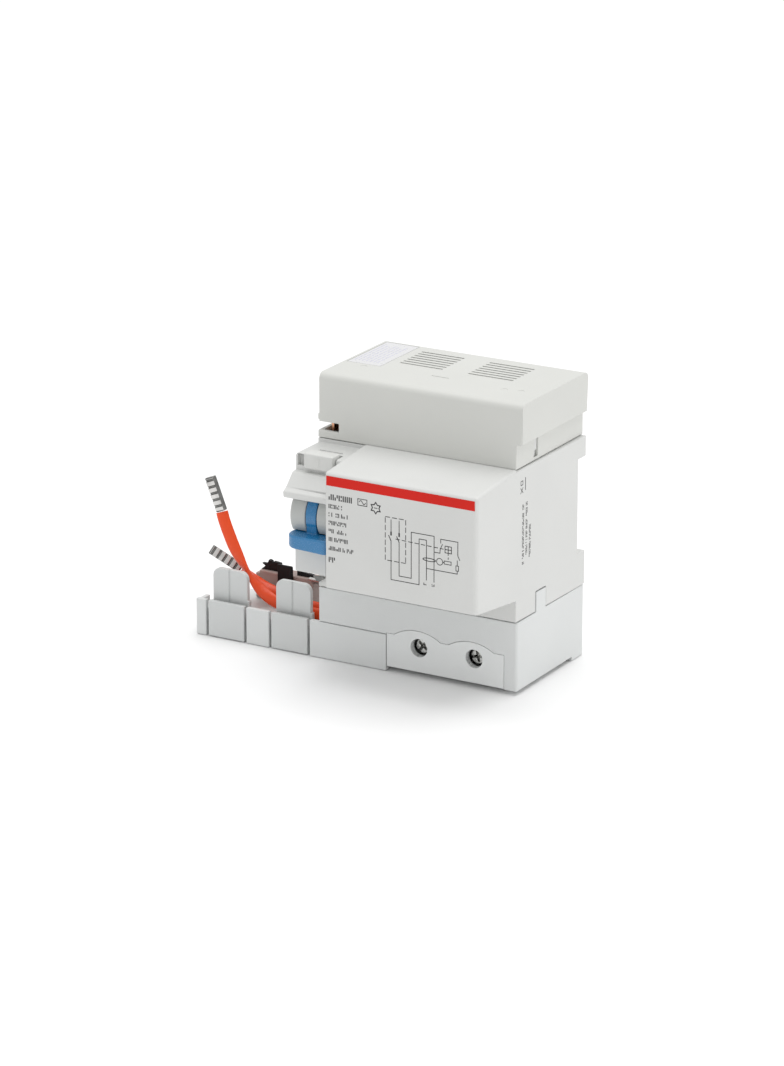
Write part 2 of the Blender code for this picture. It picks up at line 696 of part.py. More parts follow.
def relay():
    x, y, bore, plunger = 34.0, -63.0, 2.3, 1.9
    front, back, bottom, top = -70.0, -54.6, 43.5, 59.8
    plate, foot, half = 2.0, 2.7, 6.0
    yoke = [
        (front, bottom), (back, bottom), (back, top), (front, top), (front, top - plate),
        (back - plate, top - plate), (back - plate, bottom + foot), (front, bottom + foot),
    ]
    frame = add("relay_frame", prism("x", yoke, x - half, x + half), "steel")
    cut(frame, rod("z", (x, y), bore, 50.0, 70.0, 16))
    coil_low, coil_high = bottom + foot + GAP, top - plate - GAP
    coil = [(bore, coil_low), (half, coil_low), (half, coil_high), (bore, coil_high)]
    add("relay_coil", turned((x, y), coil, 24), "winding", smooth=True)
    plunger_low = bottom + foot + 2 * GAP
    add(
        "relay_plunger", rod("z", (x, y), plunger, plunger_low, top + 0.4, 16), "steel",
        (x, y, plunger_low), smooth=True)


# Current path

def toroid():
    centre = (46.0, -27.0)
    low, high, inner, outer, skin = 45.0, 59.0, 8.0, 16.0, 1.2
    case = [
        (inner, low), (outer, low), (outer, high), (outer - skin, high),
        (outer - skin, low + skin), (inner + skin, low + skin), (inner + skin, high),
        (inner, high),
    ]
    add("toroid_case", turned(centre, case), "bobbin", smooth=True)
    inside, outside, core_low = inner + skin + GAP, outer - skin - GAP, low + skin + GAP
    core = [(inside, core_low), (outside, core_low), (outside, high - 1.0), (inside, high - 1.0)]
    add("toroid_core", turned(centre, core), "ferrite", smooth=True)
    lid_low, lid_high = high + GAP, high + GAP + skin
    lid = [(inner, lid_low), (outer, lid_low), (outer, lid_high), (inner, lid_high)]
    add("toroid_lid", turned(centre, lid), "bobbin", smooth=True)


def conductors():
    radius, bend = 1.8, 4.0
    through = ((43.0, -27.0), (49.0, -27.0))
    for number, (x, y) in enumerate(through, 1):
        bar = TERMINAL_X[number - 1]
        drop_x = 12.0 + 8.0 * (2 - number)
        high = 66.0 + 5.0 * (number - 1)
        depth = -34.0 + 5.0 * (number - 1)
        points = (
            (bar, y - 3.7, 30.8), (bar, y, 36.0), (x, y, 38.5), (x, y, high),
            (drop_x, y, high), (drop_x, depth, 20.0), (drop_x, depth, 3.9),
            (-12.0 - 26.5 * (2 - number), depth, 3.9),
        )
        tube(f"conductor_{number}", bent_route(points, bend), radius, "copper")


def terminals():
    head_front, head_back, head, shank, shank_end = -46.5, -44.0, 3.0, 2.0, -31.8
    slot_half, slot_floor = 0.4, -45.5
    cage_front, cage_back, cage_half, cage_wall, cage_rise = -36.0, -20.0, 5.5, 1.5, 5.0
    bar_half = 3.7
    for number, x in enumerate(TERMINAL_X, 1):
        add(
            f"terminal_bar_{number}",
            block((x - bar_half, -31.5, 3.0), (x + bar_half, -30.0, 30.0)), "copper")
        screw = add(
            f"terminal_screw_{number}", rod("y", (x, TERMINAL_Z), head, head_front, head_back),
            "zinc", (x, head_back, TERMINAL_Z))
        join(screw, rod("y", (x, TERMINAL_Z), shank, head_back - 1.0, shank_end, 16))
        cut(screw, block((x - 5.0, -50.0, TERMINAL_Z - slot_half),
                         (x + 5.0, slot_floor, TERMINAL_Z + slot_half)))
        cage = add(
            f"terminal_cage_{number}",
            block((x - cage_half, cage_front, TERMINAL_Z - cage_rise),
                  (x + cage_half, cage_back, TERMINAL_Z + cage_rise)),
            "zinc", (x, cage_front, TERMINAL_Z))
        cut(
            cage,
            block((x - cage_half + cage_wall, cage_front + 2.5, 0.0),
                  (x + cage_half - cage_wall, cage_back - 2.5, 20.0)),
            rod("y", (x, TERMINAL_Z), shank + GAP, -40.0, -30.0, 16),
        )
    add("terminal_divider", block((51.2, -44.0, 2.1), (53.0, -12.0, 24.0)), "latch_grey")


# Electronics

def electronics():
    add("circuit_board", block((50.0, -67.0, 42.0), (75.0, -65.4, 72.0)), "board")
    add("test_resistor", rod("x", (-62.8, 66.0), 2.2, 54.0, 64.0, 16), "component", smooth=True)
    add("suppressor", rod("y", (62.0, 52.0), 5.0, -65.1, -61.0, 20), "component", smooth=True)
    chassis = add(
        "upper_chassis", block((BASE_LEFT, SHOULDER + 2.2, 75.2), (77.2, -7.8, 77.0)),
        "latch_grey")
    cut(chassis, block((2.0, -50.0, 74.0), (20.0, -44.5, 80.0)))
    add("supply_board", block((12.0, -44.0, 84.0), (70.0, -9.0, 85.6)), "board")
    add("supply_capacitor", rod("z", (28.0, -33.0), 6.0, 85.9, 98.0, 20), "component", smooth=True)
    add("transformer_core", block((48.0, -40.0, 85.9), (66.0, -24.0, 99.0)), "ferrite")
    for number, x in enumerate((3.6, 6.4), 1):
        add(f"coupling_blade_{number}", block((x, -46.0, 77.3), (x + 0.9, -41.0, 88.0)), "copper")


def springs():
    x, y, low, high = 40.0, -5.8, 9.5, 33.0
    coil, wire, turns, steps = 1.2, 0.35, 9, 8
    route = []
    for i in range(turns * steps + 1):
        angle = 2 * math.pi * i / steps
        route.append(Vector((
            x + coil * math.cos(angle), y + coil * math.sin(angle),
            low + (high - low) * i / (turns * steps))))
    tube("latch_spring", route, wire, "steel", 1)


clear_scene()
top_cover()
middle_housing()
bottom_housing()
terminal_cover()
rear_base()
connection_tail()
pole_latches()
pole_insulation()
leads()
toggle()
test_button()
trip_gear()
relay()
toroid()
conductors()
terminals()
electronics()
springs()
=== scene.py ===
"""Studio scene of a two-pole residual current block with its connection tail and leads."""

import json
import math
import random

import bmesh
import bpy
from mathutils import Matrix, Vector

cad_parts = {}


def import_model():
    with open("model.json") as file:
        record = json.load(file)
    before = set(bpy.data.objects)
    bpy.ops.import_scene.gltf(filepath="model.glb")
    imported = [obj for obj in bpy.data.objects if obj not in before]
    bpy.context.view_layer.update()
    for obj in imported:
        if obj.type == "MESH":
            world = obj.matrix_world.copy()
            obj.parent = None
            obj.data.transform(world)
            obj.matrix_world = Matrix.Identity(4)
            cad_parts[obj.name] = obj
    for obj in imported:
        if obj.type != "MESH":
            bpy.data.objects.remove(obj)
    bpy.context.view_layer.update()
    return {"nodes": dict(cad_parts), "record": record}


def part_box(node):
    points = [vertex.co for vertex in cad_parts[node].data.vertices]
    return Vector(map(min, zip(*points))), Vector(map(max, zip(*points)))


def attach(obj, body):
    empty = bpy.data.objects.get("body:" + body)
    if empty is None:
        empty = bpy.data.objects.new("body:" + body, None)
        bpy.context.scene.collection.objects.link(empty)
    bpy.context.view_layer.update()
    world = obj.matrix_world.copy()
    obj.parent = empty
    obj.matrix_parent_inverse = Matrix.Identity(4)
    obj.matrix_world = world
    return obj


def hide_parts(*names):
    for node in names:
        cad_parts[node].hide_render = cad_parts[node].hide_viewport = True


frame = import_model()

MM = 0.001

# Housing measures, in the housing's own millimetres: x from its left side, y from the rear
# plane towards the front (negative), z from the housing's underside
SHOULDER, NOSE_FRONT, NOSE_LEFT = -49.5, -77.2, 19.4
HEIGHT, COVER_RIGHT = 104.5, 81.2
LOW_SEAM, HIGH_SEAM = 25.4, 81.0
SEAM = 0.14
WALL = 1.8
INNER_RIGHT = 77.4
RAIL_LOW, RAIL_HIGH, RAIL_DEPTH = 38.2, 73.3, 5.5
TAIL_LEFT, TAIL_RIGHT, TAIL_FRONT, TAIL_BACK = -51.7, 27.6, -49.8, -22.0
TAIL_DROP, TAIL_LIP, TAIL_DECK = 1.5, 12.1, 8.5
TONGUE_LEFTS, TONGUE_WIDTH, TONGUE_SLOT, TAB_TOP = (-46.6, -20.0), 15.1, 1.0, 23.8
TOGGLE_Y, TOGGLE_Z, DRUM_RADIUS = -62.0, 58.3, 9.2
TERMINAL_X, TERMINAL_Z, HOLE_RADIUS = (41.0, 63.2), 9.3, 3.4
COLUMN_FACE, PLATFORM = -65.7, 79.2
CHEEK_LEFT, CHEEK_RIGHT, AXLE_RADIUS = 1.3, 18.9, 1.8
TEST_X, TEST_Z = 10.1, 76.6
COVER_STEP = 90.0

# Places outside the housing, where cutting bodies start or end
LEFTWARD, RIGHTWARD, AHEAD, FAR_AHEAD, BEHIND = -5.0, 90.0, -60.0, -80.0, 5.0
BELOW, ABOVE = -5.0, 110.0

HOME = Vector((
    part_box("middle_housing")[0][0],
    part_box("rear_base")[1][1],
    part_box("connection_tail")[0][2] + TAIL_DROP * MM,
))


def world(point):
    """A place in the world, in metres, from housing millimetres."""
    return HOME + Vector(point) * MM


# Camera

FOCAL_LENGTH, SENSOR_WIDTH = 152.96, 36.0
CAMERA_PLACE = Vector((0.76825, -1.3203, 0.5534))
CAMERA_AIM = Vector((-0.01244, 0.03733, 0.03338))


def looking(place, aim):
    """The rotation of a camera or lamp at one place that looks at another."""
    return (aim - place).to_track_quat("-Z", "Y").to_euler()


def camera():
    lens = bpy.data.cameras.new("camera")
    lens.lens, lens.sensor_width = FOCAL_LENGTH, SENSOR_WIDTH
    lens.clip_start, lens.clip_end = 0.01, 50.0
    made = bpy.data.objects.new("camera", lens)
    made.location = CAMERA_PLACE
    made.rotation_euler = looking(CAMERA_PLACE, CAMERA_AIM)
    bpy.context.scene.collection.objects.link(made)
    bpy.context.scene.camera = made


camera()


# Outlines

def rectangle(low, high):
    return [(low[0], low[1]), (high[0], low[1]), (high[0], high[1]), (low[0], high[1])]


def circle(centre, radius, sides=48):
    turn = 2 * math.pi / sides
    return [
        (centre[0] + radius * math.cos(turn * i), centre[1] + radius * math.sin(turn * i))
        for i in range(sides)
    ]


def rounded(outline, radii, steps=8):
    """The outline with the corners whose index is in radii turned into arcs."""
    points = []
    for i, corner in enumerate(outline):
        radius = radii.get(i, 0.0)
        if not radius:
            points.append(tuple(corner))
            continue
        here = Vector(corner)
        back = (Vector(outline[i - 1]) - here).normalized()
        ahead = (Vector(outline[(i + 1) % len(outline)]) - here).normalized()
        half = back.angle(ahead) / 2
        centre = here + (back + ahead).normalized() * radius / math.sin(half)
        start = (here + back * radius / math.tan(half) - centre).normalized()
        end = (here + ahead * radius / math.tan(half) - centre).normalized()
        points += [
            tuple(centre + start.slerp(end, step / steps) * radius) for step in range(steps + 1)]
    return points


def arch(left, right, base, rise, steps=20):
    """Points along a low arch from right to left."""
    half = (right - left) / 2
    radius = (half * half + rise * rise) / (2 * rise)
    sweep = math.asin(half / radius)
    return [
        ((left + right) / 2 + radius * math.sin(a), base + rise - radius + radius * math.cos(a))
        for a in (sweep * (1 - 2 * i / steps) for i in range(steps + 1))
    ]


# Solids, as bmeshes in housing millimetres

def prism(axis, outline, low, high):
    place = {
        "x": lambda p, at: (at, p[0], p[1]),
        "y": lambda p, at: (p[0], at, p[1]),
        "z": lambda p, at: (p[0], p[1], at),
    }[axis]
    shape = bmesh.new()
    start = [shape.verts.new(place(p, low)) for p in outline]
    end = [shape.verts.new(place(p, high)) for p in outline]
    shape.faces.new(start)
    shape.faces.new(list(reversed(end)))
    for i in range(len(outline)):
        j = (i + 1) % len(outline)
        shape.faces.new((start[j], start[i], end[i], end[j]))
    bmesh.ops.recalc_face_normals(shape, faces=shape.faces)
    return shape


def block(low, high):
    return prism("z", rectangle(low[:2], high[:2]), low[2], high[2])


def rod(axis, centre, radius, low, high, sides=48):
    return prism(axis, circle(centre, radius, sides), low, high)


def lofted(loops):
    """A closed body through loops of the same number of points, with flat ends."""
    shape = bmesh.new()
    rings = [[shape.verts.new(point) for point in loop] for loop in loops]
    shape.faces.new(rings[0])
    shape.faces.new(list(reversed(rings[-1])))
    for ring, following in zip(rings, rings[1:]):
        for i in range(len(ring)):
            j = (i + 1) % len(ring)
            shape.faces.new((ring[j], ring[i], following[i], following[j]))
    bmesh.ops.recalc_face_normals(shape, faces=shape.faces)
    return shape


def frustum(near_y, near, far_y, far):
    """A box whose x and z limits change evenly from one y plane to another."""
    return lofted([
        [(x, at, z) for x, z in ((left, low), (right, low), (right, high), (left, high))]
        for at, ((left, right), (low, high)) in ((near_y, near), (far_y, far))
    ])


def merged(shapes):
    """Several bodies in one bmesh."""
    whole = bmesh.new()
    for shape in shapes:
        carried = bpy.data.meshes.new("carried")
        shape.to_mesh(carried)
        shape.free()
        whole.from_mesh(carried)
        bpy.data.meshes.remove(carried)
    return whole


# Pieces

def mesh_object(name, shape):
    """An object in world metres from a bmesh in housing millimetres."""
    bmesh.ops.scale(shape, verts=shape.verts, vec=(MM, MM, MM))
    bmesh.ops.translate(shape, verts=shape.verts, vec=HOME)
    mesh = bpy.data.meshes.new(name)
    shape.to_mesh(mesh)
    shape.free()
    made = bpy.data.objects.new(name, mesh)
    bpy.context.scene.collection.objects.link(made)
    return made


def settled(made):
    """Applies the object's modifiers."""
    shown = made.evaluated_get(bpy.context.evaluated_depsgraph_get())
    mesh = bpy.data.meshes.new_from_object(shown)
    old = made.data
    made.modifiers.clear()
    made.data = mesh
    bpy.data.meshes.remove(old)
    mesh.name = made.name


def combine(made, operation, shapes):
    """Cuts the shapes from the object, or joins them to it."""
    for shape in shapes:
        guide = mesh_object("guide", shape)
        step = made.modifiers.new("combine", "BOOLEAN")
        step.operation, step.solver, step.object = operation, "EXACT", guide
        settled(made)
        spare = guide.data
        bpy.data.objects.remove(guide)
        bpy.data.meshes.remove(spare)


def join(made, *shapes):
    combine(made, "UNION", shapes)


def cut(made, *shapes):
    combine(made, "DIFFERENCE", shapes)


def flatten(made):
    """Joins the triangles of each flat face into one face again."""
    same_place, same_plane = 2e-6, math.radians(0.4)
    shape = bmesh.new()
    shape.from_mesh(made.data)
    bmesh.ops.remove_doubles(shape, verts=shape.verts, dist=same_place)
    bmesh.ops.dissolve_limit(
        shape, angle_limit=same_plane, verts=shape.verts, edges=shape.edges)
    shape.to_mesh(made.data)
    shape.free()


SHARP = math.radians(25)


def soften(made, width=0.35, segments=3, wider=None):
    """Rounds the object's sharp edges. wider(a, b) gives another width in millimetres for an edge
    between two housing points, or None for the usual one. Edges shorter than half of their
    width stay sharp."""
    shape = bmesh.new()
    shape.from_mesh(made.data)
    weights = shape.edges.layers.float.new("bevel_weight_edge")
    widths = {}
    for edge in shape.edges:
        if len(edge.link_faces) != 2 or edge.calc_face_angle() < SHARP:
            continue
        a, b = ((v.co - HOME) / MM for v in edge.verts)
        chosen = wider(a, b) if wider else None
        chosen = width if chosen is None else chosen
        if chosen and (a - b).length > chosen / 2:
            widths[edge] = chosen
    largest = max(widths.values())
    for edge, chosen in widths.items():
        edge[weights] = chosen / largest
    shape.to_mesh(made.data)
    shape.free()
    step = made.modifiers.new("rounded_edges", "BEVEL")
    step.limit_method, step.width, step.segments = "WEIGHT", largest * MM, segments
    step.use_clamp_overlap = False
    step.miter_outer = "MITER_ARC"
    even = made.modifiers.new("even_normals", "WEIGHTED_NORMAL")
    even.keep_sharp = True
    made.data.shade_smooth()
    made.data.set_sharp_from_angle(angle=SHARP)


WAITING = []


def piece(name, shape, body, look, slot, stands_for=()):
    """A shown piece that rides on a body and stands for CAD nodes. Later, place_pieces parents it
    to its body and hides those nodes."""
    made = mesh_object(name, shape) if isinstance(shape, bmesh.types.BMesh) else shape
    made.data.materials.clear()
    made.data.materials.append(look)
    made["part_body"], made["part_slot"] = body, slot
    made["stands_for"] = json.dumps(list(stands_for))
    WAITING.append(made)
    return made


def place_pieces():
    """Parents each piece to its body and hides the CAD nodes it stands for."""
    for made in WAITING:
        body, slot = made["part_body"], made["part_slot"]
        nodes = json.loads(made["stands_for"])
        for key in ("part_body", "part_slot", "stands_for"):
            del made[key]
        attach(made, body)
        if nodes:
            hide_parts(*nodes)


def copy_of(node):
    """A copy of a CAD node's mesh as a new object."""
    made = bpy.data.objects.new(node + "_shown", frame["nodes"][node].data.copy())
    made.data.materials.clear()
    bpy.context.scene.collection.objects.link(made)
    flatten(made)
    return made


# Materials. The scales are per metre, and the depths are in metres

NOISE_LOW, NOISE_HIGH = 0.3, 0.7
TINT_LOW, TINT_HIGH = 0.35, 0.65
CLOUD_SCALE, TARNISH_SCALE, SCRATCH_SCALE = 28.0, 160.0, 1500.0
GRAIN_DEPTH, SCRATCH_DEPTH = 0.00004, 0.00003


def nodes_of(name):
    made = bpy.data.materials.new(name)
    made.use_nodes = True
    tree = made.node_tree
    return made, tree, tree.nodes["Principled BSDF"]


def noise(tree, scale, detail=2.0, roughness=0.5, stretch=None):
    """A noise texture in the object's own coordinates."""
    coordinates = tree.nodes.new("ShaderNodeTexCoord")
    texture = tree.nodes.new("ShaderNodeTexNoise")
    texture.inputs["Scale"].default_value = scale
    texture.inputs["Detail"].default_value = detail
    texture.inputs["Roughness"].default_value = roughness
    if stretch:
        mapping = tree.nodes.new("ShaderNodeMapping")
        mapping.inputs["Scale"].default_value = stretch
        tree.links.new(coordinates.outputs["Object"], mapping.inputs["Vector"])
        tree.links.new(mapping.outputs["Vector"], texture.inputs["Vector"])
    else:
        tree.links.new(coordinates.outputs["Object"], texture.inputs["Vector"])
    return texture


def spread(tree, source, low, high):
    """The texture's value between two numbers."""
    ranged = tree.nodes.new("ShaderNodeMapRange")
    ranged.inputs["From Min"].default_value = NOISE_LOW
    ranged.inputs["From Max"].default_value = NOISE_HIGH
    ranged.inputs["To Min"].default_value = low
    ranged.inputs["To Max"].default_value = high
    tree.links.new(source, ranged.inputs["Value"])
    return ranged.outputs["Result"]


def tinted(tree, source, colour, other):
    """A colour that drifts between two, with the texture."""
    ramp = tree.nodes.new("ShaderNodeValToRGB")
    ramp.color_ramp.elements[0].position = TINT_LOW
    ramp.color_ramp.elements[1].position = TINT_HIGH
    ramp.color_ramp.elements[0].color = (*colour, 1.0)
    ramp.color_ramp.elements[1].color = (*other, 1.0)
    tree.links.new(source, ramp.inputs["Fac"])
    return ramp.outputs["Color"]


def relief(tree, shader, source, strength, distance):
    bump = tree.nodes.new("ShaderNodeBump")
    bump.inputs["Strength"].default_value = strength
    bump.inputs["Distance"].default_value = distance
    tree.links.new(source, bump.inputs["Height"])
    tree.links.new(bump.outputs["Normal"], shader.inputs["Normal"])


def plastic(name, colour, roughness=0.42, drift=0.03, grain=3200.0, bump=0.12, gloss=0.5):
    """Moulded plastic: fine spark-eroded grain, and a slow drift of colour and gloss."""
    made, tree, shader = nodes_of(name)
    slow = noise(tree, CLOUD_SCALE, 3.0)
    fine = noise(tree, grain, 2.0, 0.6)
    darker = tuple(c * (1 - drift) for c in colour)
    tree.links.new(
        tinted(tree, slow.outputs["Fac"], darker, colour), shader.inputs["Base Color"])
    tree.links.new(
        spread(tree, fine.outputs["Fac"], roughness - 0.05, roughness + 0.07),
        shader.inputs["Roughness"])
    shader.inputs["Specular IOR Level"].default_value = gloss
    relief(tree, shader, fine.outputs["Fac"], bump, GRAIN_DEPTH)
    return made


def metal(name, colour, roughness=0.3, scratch=(1.0, 1.0, 1.0), drift=0.15, bump=0.2):
    """Plated or bare metal with fine handling marks."""
    made, tree, shader = nodes_of(name)
    fine = noise(tree, SCRATCH_SCALE, 4.0, 0.65, scratch)
    slow = noise(tree, TARNISH_SCALE, 3.0)
    darker = tuple(c * (1 - drift) for c in colour)
    tree.links.new(
        tinted(tree, slow.outputs["Fac"], darker, colour), shader.inputs["Base Color"])
    tree.links.new(
        spread(tree, fine.outputs["Fac"], roughness - 0.08, roughness + 0.12),
        shader.inputs["Roughness"])
    shader.inputs["Metallic"].default_value = 1.0
    relief(tree, shader, fine.outputs["Fac"], bump, SCRATCH_DEPTH)
    return made


COVER = plastic("cover_plastic", (0.645, 0.65, 0.62))
HOUSING = plastic("housing_plastic", (0.665, 0.67, 0.655))
LOWER = plastic("lower_plastic", (0.685, 0.70, 0.695))
TAIL = plastic("tail_plastic", (0.70, 0.715, 0.71))
LATCH = plastic("latch_plastic", (0.63, 0.645, 0.64), 0.38)
PLATE = plastic("plate_plastic", (0.76, 0.775, 0.77), 0.4)
CHEEK = plastic("cheek_plastic", (0.50, 0.515, 0.50), 0.36)
BUTTON = plastic("button_plastic", (0.68, 0.685, 0.665), 0.4)
HANDLE = plastic("handle_plastic", (0.015, 0.19, 0.43), 0.24, 0.12, 2600.0, 0.06, 0.8)
SHROUD = plastic("shroud_plastic", (0.42, 0.32, 0.29), 0.45, 0.12, 1500.0, 0.3)
CLIP = plastic("clip_plastic", (0.008, 0.007, 0.008), 0.5, 0.2, 2200.0, 0.2, 0.25)
ORANGE = plastic("lead_insulation", (0.88, 0.072, 0.004), 0.36, 0.16, 1400.0, 0.16)
RED = plastic("stripe_ink", (0.66, 0.014, 0.007), 0.42, 0.06, 4200.0, 0.05, 0.2)
INK = plastic("mark_ink", (0.028, 0.028, 0.03), 0.5, 0.3, 4200.0, 0.05, 0.3)
LILAC = plastic("sticker_ink", (0.60, 0.60, 0.72), 0.5, 0.1, 4200.0, 0.05, 0.3)
STICKER = plastic("sticker_foil", (0.70, 0.70, 0.71), 0.3, 0.02, 900.0, 0.06)
BOARD = plastic("circuit_board_mask", (0.012, 0.10, 0.035), 0.35, 0.3, 1800.0, 0.1)
BOBBIN = plastic("bobbin_plastic", (0.70, 0.66, 0.52), 0.5)
FERRITE = plastic("ferrite_ceramic", (0.045, 0.045, 0.048), 0.6, 0.2, 1800.0, 0.4)
COMPONENT = plastic("component_shell", (0.10, 0.14, 0.28), 0.35, 0.1)
WINDING = metal("enamelled_winding", (0.55, 0.20, 0.07), 0.35, (1.0, 1.0, 14.0))
TINNED = metal("tinned_copper", (0.82, 0.81, 0.79), 0.42, (3.0, 1.0, 1.0), 0.3, 0.35)
# Darker metal: the lugs' sheared sides, and painted shade in their grooves and below the column
SHEARED_AND_SHADE = metal("sheared_edge_and_painted_shade", (0.30, 0.30, 0.29), 0.5, (3.0, 1.0, 1.0), 0.4, 0.4)
ZINC = metal("zinc_plating", (0.72, 0.72, 0.70), 0.27)
STEEL = metal("spring_steel", (0.62, 0.61, 0.59), 0.28, (1.0, 8.0, 1.0))
COPPER = metal("bare_copper", (0.80, 0.42, 0.26), 0.3)

SLOT_LOOKS = {
    "cover_plastic": COVER, "housing_plastic": HOUSING, "tail_plastic": TAIL,
    "latch_plastic": LATCH, "cheek_plastic": CHEEK, "label_print": PLATE, "stripe_red": RED,
    "sticker_white": STICKER, "handle_blue": HANDLE, "shroud_mauve": SHROUD,
    "clip_black": CLIP, "lead_orange": ORANGE, "tinned_lug": TINNED, "zinc": ZINC,
    "steel": STEEL, "copper": COPPER, "winding": WINDING, "ferrite": FERRITE,
    "bobbin": BOBBIN, "board": BOARD, "component": COMPONENT,
}
SLOT_OF = {row["node"]: row["material_slot"] for row in frame["record"]["subparts"]}
for node, carried in frame["nodes"].items():
    carried.data.materials.clear()
    carried.data.materials.append(SLOT_LOOKS[SLOT_OF[node]])


# Leads, as flattened tubes that twist on their way

LEAD_DIAMETER = 4.4
LEAD_A = (
    (0.0, -41.0, 11.2), (-6.0, -41.0, 11.2), (-12.0, -41.0, 11.3), (-18.0, -41.0, 11.8),
    (-23.8, -41.0, 13.1), (-28.9, -41.0, 16.0), (-33.2, -41.0, 20.1), (-36.7, -41.0, 24.6),
    (-40.4, -40.9, 30.3), (-43.4, -40.6, 36.2), (-45.3, -40.3, 40.4), (-46.3, -40.0, 43.1),
)
LEAD_B = (
    (0.0, -35.4, 11.2), (-6.0, -35.4, 11.2), (-12.0, -35.3, 11.4), (-18.0, -35.0, 12.0),
    (-24.0, -34.8, 13.1), (-30.4, -34.7, 15.1), (-36.2, -35.0, 18.3), (-40.4, -36.3, 21.1),
)
LUG_A_TIP = (-51.2, -40.0, 55.6)
LUG_B_TIP = (-51.2, -40.0, 28.1)
LEAD_THICK, LEAD_SIDES = 2.1, 24
LUG_WIDTH, LUG_THICK = 3.5, 2.5


def smooth_route(points, spacing):
    """Evenly spaced points on a smooth curve through the given ones."""
    knots = [Vector(p) for p in points]
    knots = [2 * knots[0] - knots[1], *knots, 2 * knots[-1] - knots[-2]]
    fine = []
    steps = 12
    for a, b, c, d in zip(knots, knots[1:], knots[2:], knots[3:]):
        for t in (step / steps for step in range(steps)):
            fine.append(0.5 * (
                2 * b + (c - a) * t + (2 * a - 5 * b + 4 * c - d) * t * t
                + (3 * b - 3 * c + d - a) * t * t * t))
    fine.append(knots[-2])
    length = sum((q - p).length for p, q in zip(fine, fine[1:]))
    count = round(length / spacing)
    even, walked, goal = [fine[0]], 0.0, length / count
    for p, q in zip(fine, fine[1:]):
        run = (q - p).length
        while walked + run >= goal * len(even) and len(even) < count:
            even.append(p.lerp(q, (goal * len(even) - walked) / run))
        walked += run
    even.append(fine[-1])
    return even, length


def lead_tube(route, twist):
    """A tube of flattened section along the route; twist gives its turn from 0 to 1 of the way."""
    wide, thin = LEAD_DIAMETER / 2, LEAD_THICK / 2
    loops = []
    for i, here in enumerate(route):
        ahead = (route[min(i + 1, len(route) - 1)] - route[max(i - 1, 0)]).normalized()
        flat = Vector((0.0, 1.0, 0.0))
        flat = (flat - ahead * flat.dot(ahead)).normalized()
        up = ahead.cross(flat)
        turn = math.radians(twist(i / (len(route) - 1)))
        across = flat * math.cos(turn) + up * math.sin(turn)
        over = ahead.cross(across)
        loops.append([
            here + across * wide * math.cos(a) + over * thin * math.sin(a)
            for a in (2 * math.pi * k / LEAD_SIDES for k in range(LEAD_SIDES))
        ])
    return lofted(loops)


def lug_shape(base, tip, facing):
    """A tinned flat bar along its lead, with cross grooves pressed into the side that faces the
    given way."""
    base, tip, facing = Vector(base), Vector(tip), Vector(facing)
    length = (tip - base).length
    along = (tip - base).normalized()
    facing = (facing - along * facing.dot(along)).normalized()
    grooves, half, depth, reach = 5, LUG_THICK / 2, 0.4, 0.45
    front = [(0.3, half - 0.4), (0.8, half)]
    for i in range(grooves):
        at = 0.8 + (length - 1.2) * (i + 0.7) / grooves
        front += [(at - reach, half), (at - reach * 0.6, half - depth),
                  (at + reach * 0.6, half - depth), (at + reach, half)]
    front += [(length - 0.5, half), (length, half - 0.5)]
    outline = [*front, (length, 0.3 - half), (length - 0.5, -half), (0.3, -half)]
    shape = prism("y", outline, -LUG_WIDTH / 2, LUG_WIDTH / 2)
    turn = Matrix((along, facing.cross(along), facing)).transposed().to_4x4()
    bmesh.ops.transform(shape, matrix=Matrix.Translation(base) @ turn, verts=shape.verts)
    bmesh.ops.recalc_face_normals(shape, faces=shape.faces)
    return shape


def paint_groove_shade(lug, base, tip, facing, shade_and_edge_look):
    """Painted shade in a lug's pressed grooves, and a darker finish on its sheared sides."""
    base, tip, facing = Vector(base), Vector(tip), Vector(facing)
    along = (tip - base).normalized()
    facing = (facing - along * facing.dot(along)).normalized()
    side = facing.cross(along)
    lug.data.materials.append(shade_and_edge_look)
    surface = (LUG_THICK / 2 - 0.1) * MM
    start = world(base)
    for face in lug.data.polygons:
        height = (face.center - start).dot(facing)
        # Faces at the bottom of the grooves take the darker material as painted shade.
        pressed = face.normal.dot(facing) > 0.3 and height < surface
        if pressed or abs(face.normal.dot(side)) > 0.8:
            face.material_index = 1


def ease(low, high, start, end):
    """A value that goes smoothly from low to high between start and end."""
    def value(t):
        u = min(1.0, max(0.0, (t - start) / (end - start)))
        return low + (high - low) * u * u * (3 - 2 * u)
    return value


def leads():
    twists = {"a": ease(110.0, 300.0, 0.35, 0.85), "b": ease(110.0, 190.0, 0.5, 0.95)}
    ends = (("a", LEAD_A, LUG_A_TIP, (0.05, -1.0, 0.0)),
            ("b", LEAD_B, LUG_B_TIP, (0.45, -0.85, 0.3)))
    for letter, points, tip, facing in ends:
        route, length = smooth_route(points, 1.0)
        end = piece(
            f"lug_{letter}_ribbed", lug_shape(points[-1], tip, facing), "housing", TINNED,
            "tinned_lug", [f"lug_{letter}"])
        # Painted shade in the grooves, and a darker finish on the sheared sides.
        paint_groove_shade(end, points[-1], tip, facing, SHEARED_AND_SHADE)
        soften(end, 0.15, 2)
        lead = piece(
            f"lead_{letter}_insulated", lead_tube(route, twists[letter]), "housing", ORANGE,
            "lead_orange", [f"lead_{letter}"])
        lead.data.shade_smooth()
        lead.data.set_sharp_from_angle(angle=math.radians(50))


leads()


# Housing

